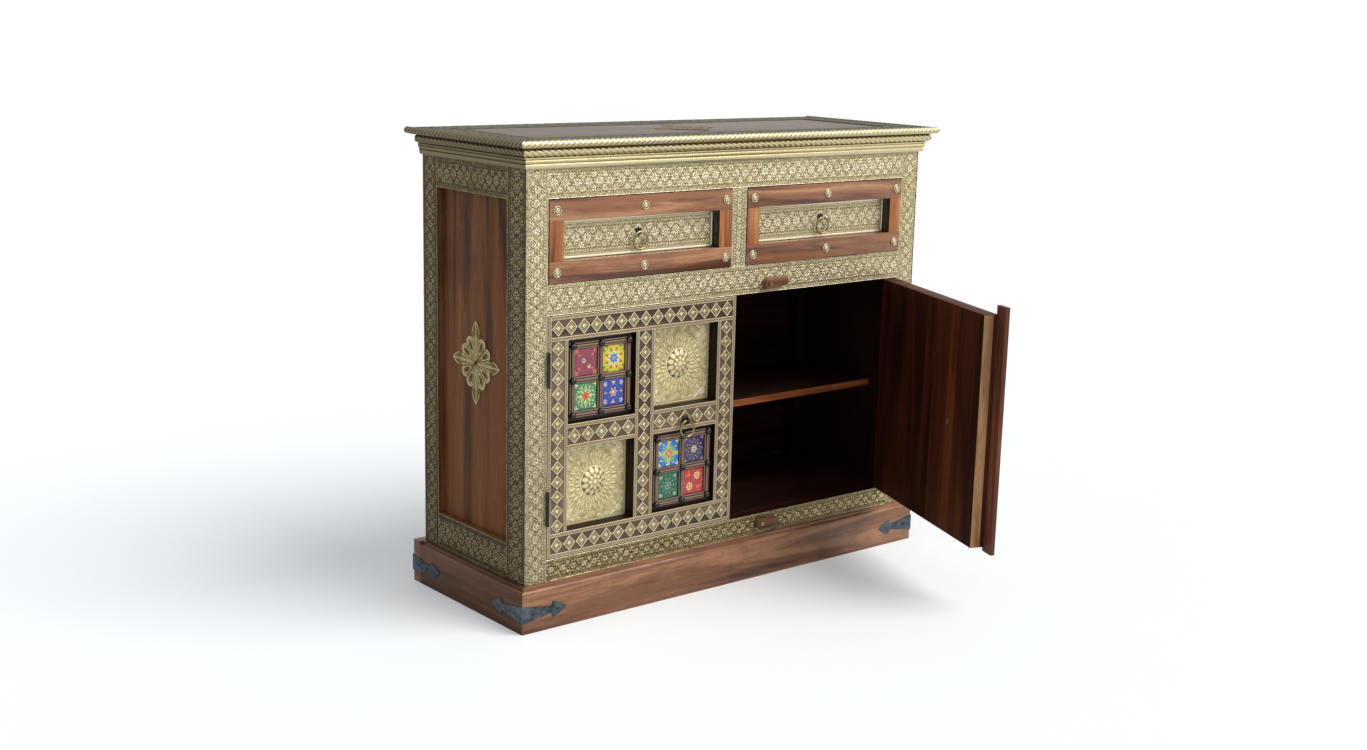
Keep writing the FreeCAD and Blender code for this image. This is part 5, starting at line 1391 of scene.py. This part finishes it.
def tile_marks(kind, x, y):
    """Which paints lie where on a tile, x and y from -1 to 1."""
    ax, ay = np.abs(x), np.abs(y)
    rho = np.hypot(x, y)
    if kind == "magenta":
        return [
            (rho < 0.95, (152, 58, 84)), (star(ax - 0.86, ay - 0.86, 5, 0.10, 0.30), (206, 120, 96)),
            (ring(x + 0.22, y - 0.10, 0.09, 0.16), (236, 214, 190)),
            (ring(x + 0.22, y - 0.10, 0.0, 0.05), (224, 130, 60)),
            (star(x - 0.28, y + 0.36, 5, 0.07, 0.19, 0.6), (240, 214, 150)),
            (star(ax - 0.58, ay - 0.52, 5, 0.05, 0.13, 0.6), (206, 138, 140)),
            (spots(x, y, 0.40, 0.035, 9), (120, 96, 70)), (spots(x, y, 0.66, 0.03, 14, 0.2), (208, 120, 130)),
        ]
    if kind == "yellow":
        return [
            (star(ax - 0.96, ay - 0.96, 4, 0.08, 0.26), (206, 70, 44)),
            (star(ax - 0.62, ay - 0.9, 4, 0.06, 0.20), (60, 140, 70)),
            (star(ax - 0.9, ay - 0.62, 4, 0.06, 0.20), (60, 140, 70)),
            (star(x, y, 8, 0.34, 0.90, 0.39), (60, 140, 84)), (star(x, y, 8, 0.30, 0.76, 0.39), (244, 230, 70)),
            (star(x, y, 8, 0.24, 0.74), (250, 246, 190)),
            (spots(x, y, 0.70, 0.085, 8, 0.39), (206, 70, 40)), (spots(x, y, 0.55, 0.045, 16), (226, 150, 40)),
            (star(x, y, 8, 0.24, 0.48), (44, 100, 196)), (star(x, y, 8, 0.12, 0.30, 0.39), (96, 168, 226)),
            (ring(x, y, 0.0, 0.10), (236, 160, 40)),
        ]
    if kind == "green":
        return [
            (star(x, y, 12, 0.42, 0.92), CREAM), (star(x, y, 12, 0.34, 0.74), (58, 140, 78)),
            (star(x, y, 8, 0.26, 0.64), (226, 222, 120)), (star(x, y, 8, 0.20, 0.50, 0.39), (60, 150, 90)),
            (ring(x, y, 0.0, 0.27), (228, 96, 36)), (ring(x, y, 0.0, 0.11), (206, 56, 30)),
            (star(ax - 0.86, ay - 0.86, 4, 0.06, 0.22), CREAM), (spots(x, y, 0.84, 0.05, 12, 0.26), CREAM),
        ]
    if kind == "blue":
        return [
            (star(x, y, 6, 0.20, 0.40), (240, 206, 170)), (star(x, y, 6, 0.14, 0.32), (60, 76, 176)),
            (star(x, y, 6, 0.10, 0.24), (232, 150, 110)), (ring(x, y, 0.0, 0.09), (244, 230, 200)),
            (star(ax - 0.74, ay - 0.66, 5, 0.06, 0.22), (226, 224, 236)),
            (star(ax, ay - 0.72, 3, 0.07, 0.20, 1.57), (232, 208, 196)),
            (ring(ax, ay - 0.72, 0.0, 0.06), (228, 120, 80)),
            (spots(x, y, 0.56, 0.04, 12), (110, 150, 226)), (ring(ax - 0.74, ay - 0.66, 0.0, 0.06), (214, 100, 120)),
            (star(ax - 0.74, ay, 4, 0.05, 0.15), (226, 160, 120)),
        ]
    if kind == "sky":
        cross = (np.minimum(ax, ay) < 0.10 + 0.12 * np.clip(1 - rho, 0, 1)) & (rho < 0.98)
        saltire = (np.abs(ax - ay) < 0.16) & (rho < 0.80)
        return [
            (star(x, y, 8, 0.30, 0.96, 0.39), (24, 74, 164)), (star(x, y, 8, 0.24, 0.86, 0.39), (96, 186, 236)),
            (saltire, (130, 186, 96)), (cross, (206, 200, 92)),
            (star(x, y, 4, 0.14, 0.44), (224, 120, 50)), (star(x, y, 8, 0.14, 0.30, 0.39), (226, 84, 110)),
            (ring(x, y, 0.0, 0.09), CREAM), (spots(x, y, 0.88, 0.07, 8, 0.20), (236, 240, 236)),
            (star(ax - 0.90, ay - 0.90, 4, 0.08, 0.24), (238, 236, 150)),
        ]
    if kind == "purple":
        return [
            (spots(x, y, 0.76, 0.11, 12), (134, 122, 150)), (spots(x, y, 0.76, 0.05, 12), (60, 50, 86)),
            (spots(x, y, 0.54, 0.07, 12, 0.26), (160, 146, 150)), (star(x, y, 12, 0.22, 0.42), (176, 160, 150)),
            (ring(x, y, 0.0, 0.22), (222, 204, 176)), (star(x, y, 8, 0.07, 0.16), (150, 116, 96)),
            (star(ax - 0.86, ay - 0.86, 4, 0.06, 0.24), (150, 140, 150)),
        ]
    if kind == "emerald":
        return [
            (star(x, y, 8, 0.22, 0.38), (166, 196, 160)), (star(x, y, 8, 0.16, 0.28), (24, 104, 84)),
            (ring(x, y, 0.0, 0.08), (214, 180, 110)), (star(ax - 0.7, ay - 0.7, 5, 0.05, 0.20), (190, 204, 130)),
            (spots(x, y, 0.58, 0.045, 10), (206, 214, 120)), (spots(x, y, 0.9, 0.05, 14), (96, 170, 120)),
            (ring(x, y, 0.44, 0.47), (70, 150, 116)),
        ]
    marks = []
    for cx, cy in ((0.36, 0.40), (-0.36, -0.42)):
        marks += [
            (star(x - cx, y - cy, 8, 0.22, 0.36), (242, 216, 150)), (ring(x - cx, y - cy, 0.0, 0.17), (214, 92, 50)),
            (star(x - cx, y - cy, 6, 0.05, 0.13), (244, 214, 90)),
        ]
    for cx, cy in ((-0.48, 0.52), (0.48, -0.52)):
        marks.append((star(x - cx, y - cy, 5, 0.06, 0.22), (236, 140, 70)))
    return marks + [(spots(x, y, 0.92, 0.04, 12), (240, 190, 120)), (star(x, y, 4, 0.04, 0.12), (90, 130, 70))]


TILE_PLAN = {
    (1, 1): (("magenta", "yellow"), ("green", "blue")),
    (0, 0): (("sky", "purple"), ("emerald", "red")),
}


def make_tiles(side, word, m):
    """Four glazed tiles in each of two windows, the glaze slightly pillowed and the paint raised."""
    shape = Shape()
    count = 96
    wide, tall = 50.95, 51.6
    half_u, half_v = wide / 2 - 0.35, tall / 2 - 0.35
    for (column, row), plan in TILE_PLAN.items():
        left, right, low, high = window(side, column, row)
        middle = ((left + right) / 2, (low + high) / 2)
        for k, kinds in enumerate(plan):
            for j, kind in enumerate(kinds):
                centre_x = middle[0] + (-1 if j == 0 else 1) * (BAR_WIDTH + wide) / 2
                centre_z = middle[1] + (1 if k == 0 else -1) * (BAR_WIDTH + tall) / 2
                face = front_face(centre_x, TILE_SEAT - 6.0, centre_z)
                u, v = np.meshgrid(np.linspace(-1, 1, count), np.linspace(-1, 1, count), indexing="ij")
                wobble = 0.030 * noise_field(u + 9 * j, v + 7 * k, 0.22, 301 + j + 2 * k + 5 * column)
                paint = np.empty((count, count, 4))
                paint[...] = srgb(*TILE_GROUNDS[kind])
                raised = np.zeros((count, count))
                for inside, colour in tile_marks(kind, u + wobble, v - wobble):
                    paint[inside] = srgb(*colour)
                    raised[inside] = 0.14
                rim = np.minimum(1 - np.abs(u), 1 - np.abs(v)) * half_u
                pillow = 0.7 * (1 - np.exp(-rim / 1.3)) + raised
                shape.add(face.place(u * half_u, v * half_v, pillow), [sheet_faces(count, count)],
                          paint=paint.reshape(-1, 4))
    make_piece(f"{word}_painted_tiles", shape, f"{word}_door", "glazed_tile", m["glaze"],
               [f"{word}_door_tiles"], sharp=0, is_open=side > 0)


def make_open_door(m):
    """Planks on the back of the open door, and a pale band over the back part of its free edge; the front part of the
    edge, left in the door's dark wood, stands for the cover strip's shadow.
    """
    planks = Shape()
    places = (DOOR_NEAR + 0.8, 96.0, 196.0, 322.0, DOOR_FAR - 0.8)
    for low, high in zip(places, places[1:]):
        corners = (low + 0.1, DOOR_BACK, LATTICE_LOW + 0.8), (high - 0.1, DOOR_BACK + 0.2, LATTICE_HIGH - 0.8)
        box_board(planks, *corners, 0.0, 2)
    make_piece("right_door_planks", planks, "right_door", "frame_wood", m["open_door"], ["right_door_frame"],
               is_open=True)
    band = Shape()
    box_board(band, (DOOR_NEAR - 0.25, -164.0, LATTICE_LOW + 0.5), (DOOR_NEAR, -144.3, LATTICE_HIGH - 0.5), 0.0, 2)
    make_piece("right_door_edge_band", band, "right_door", "frame_wood", m["band"], ["right_door_frame"],
               is_open=True)


def make_staple_end(side, word, m):
    """The clinched ends of a ring staple on the back of a door."""
    back = Face((side * DOOR_RING_X, DOOR_BACK, DOOR_RING_Z), (-1, 0, 0), (0, 0, 1))
    ends = Shape()
    for lean in (-1, 1):
        place = at(back, 0.0, lean * 2.6)
        lathe(ends, ((2.3, 0.0), (2.2, 0.7), (1.5, 1.2), (0.05, 1.4)), 18, lambda a, b, c: place(a * 0.7, b * 1.3, c))
    make_piece(f"{word}_staple_end", ends, f"{word}_door", "ring_brass", m["ring_brass"], is_open=side > 0)


def window_shade(points):
    """Full on the faces of a door's members that look into its windows, which get painted shade."""
    x, z = np.abs(points[:, 0]), points[:, 2]
    shade = (x > DOOR_NEAR + 3.0) & (x < DOOR_FAR - 3.0)
    if np.ptp(points[:, 2]) < 300.0:
        shade &= (z > LATTICE_LOW + 3.0) & (z < LATTICE_HIGH - 3.0)
    return shade.astype(float)


def make_doors(m):
    for side, word, _ in SIDES:
        body = f"{word}_door"
        boards(f"{word}_door_frame", body, "frame_wood", m["open_door"], 0.6, crown=window_shade)
        make_lattice(side, word, m)
        make_sun_panels(side, word, m)
        make_bars(side, word, m)
        make_tiles(side, word, m)
        make_boss(f"{word}_door_boss", body, side * DOOR_RING_X, DOOR_RING_Z, DOOR_BOSS, m, is_open=side > 0)
        make_staple_end(side, word, m)
        for node, material in ((f"{word}_door_ironwork", "black_iron"), (f"{word}_door_ring", "ring_brass")):
            dress(node, m[material])
    make_open_door(m)
    boards("right_door_cover_strip", "right_door", "frame_wood", m["strip"], 1.2)


def make_ironmongery(m):
    for node, material in (("corner_straps", "iron"), ("strap_nails", "nail"), ("carcass_hinge_leaves", "black_iron"),
                           ("button_screws", "ring_brass")):
        dress(node, m[material])
    for name in ("upper_turn_button", "lower_turn_button"):
        boards(name, name, "frame_wood", m["button"], 1.8)


# ---------------------------------------------------------------- stage


def make_stage():
    """A white floor and surround, a soft fill and a broad soft key from the right and above."""
    world = bpy.data.worlds.new("studio")
    bpy.context.scene.world = world
    world.use_nodes = True
    n = Tree(world.node_tree)
    n.tree.nodes.clear()
    ray = n.add("ShaderNodeLightPath").outputs
    seen = n.math("MAXIMUM", ray["Is Camera Ray"], ray["Is Glossy Ray"])
    clear = n.math("MAXIMUM", seen, ray["Is Transmission Ray"])
    soft = n.add("ShaderNodeBackground", {"Color": (0.90, 0.95, 1.0, 1.0), "Strength": 0.46})
    white = n.add("ShaderNodeBackground", {"Color": (1.0, 1.0, 1.0, 1.0), "Strength": 1.0})
    mixed = n.add("ShaderNodeMixShader", {0: clear, 1: soft.outputs[0], 2: white.outputs[0]})
    n.add("ShaderNodeOutputWorld", {"Surface": mixed.outputs[0]})

    mesh = bpy.data.meshes.new("floor")
    reach = 24.0
    corners = [(-reach, -reach, 0), (reach, -reach, 0), (reach, reach, 0), (-reach, reach, 0)]
    mesh.from_pydata(corners, [], [(0, 1, 2, 3)])
    floor = bpy.data.objects.new("floor", mesh)
    bpy.context.scene.collection.objects.link(floor)
    n = Nodes("floor")
    lift = n.math("MULTIPLY", n.add("ShaderNodeLightPath").outputs["Is Camera Ray"], 0.215)
    n.set(Base_Color=(0.80, 0.825, 0.845, 1.0), Roughness=0.9, Specular_IOR_Level=0.1,
          Emission_Color=(1.0, 1.0, 1.0, 1.0), Emission_Strength=lift)
    mesh.materials.append(n.material)
    floor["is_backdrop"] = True

    light = bpy.data.lights.new("key", "SUN")
    light.energy = 2.3
    light.angle = math.radians(42.0)
    light.color = (1.0, 0.985, 0.96)
    key = bpy.data.objects.new("key", light)
    key.rotation_euler = Vector((-0.55, 0.80, -1.15)).to_track_quat("-Z", "Y").to_euler()
    bpy.context.scene.collection.objects.link(key)


def make_camera():
    """The photograph's viewpoint, from a fit to the cabinet's corners."""
    azimuth, pitch, roll = 0.69193, 0.21107, 0.02480
    forward = Vector((math.sin(azimuth) * math.cos(pitch), math.cos(azimuth) * math.cos(pitch), -math.sin(pitch)))
    right = Vector((math.cos(azimuth), -math.sin(azimuth), 0.0))
    up = right.cross(forward)
    side = right * math.cos(roll) + up * math.sin(roll)
    top = up * math.cos(roll) - right * math.sin(roll)
    turn = Matrix((side, top, -forward)).transposed()
    data = bpy.data.cameras.new("camera")
    data.lens = 44.66
    data.sensor_width = 36.0
    data.sensor_fit = "HORIZONTAL"
    data.clip_start, data.clip_end = 0.05, 60.0
    data.dof.use_dof = False
    camera = bpy.data.objects.new("camera", data)
    camera.matrix_world = Matrix.Translation((-2.1659, -2.6311, 1.1240)) @ turn.to_4x4()
    bpy.context.scene.collection.objects.link(camera)
    bpy.context.scene.camera = camera


materials = make_materials()
make_carcass(materials)
make_front_brass(materials)
make_side_brass(materials)
make_side_rosettes(materials)
make_top(materials)
make_cornice(materials)
make_drawers(materials)
make_doors(materials)
make_ironmongery(materials)
make_stage()
make_camera()
bpy.context.scene.view_settings.view_transform = "Standard"

final_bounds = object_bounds()
repr([[list(map(float, corner)) for corner in pair] for pair in (CAD_BOUNDS, final_bounds)])
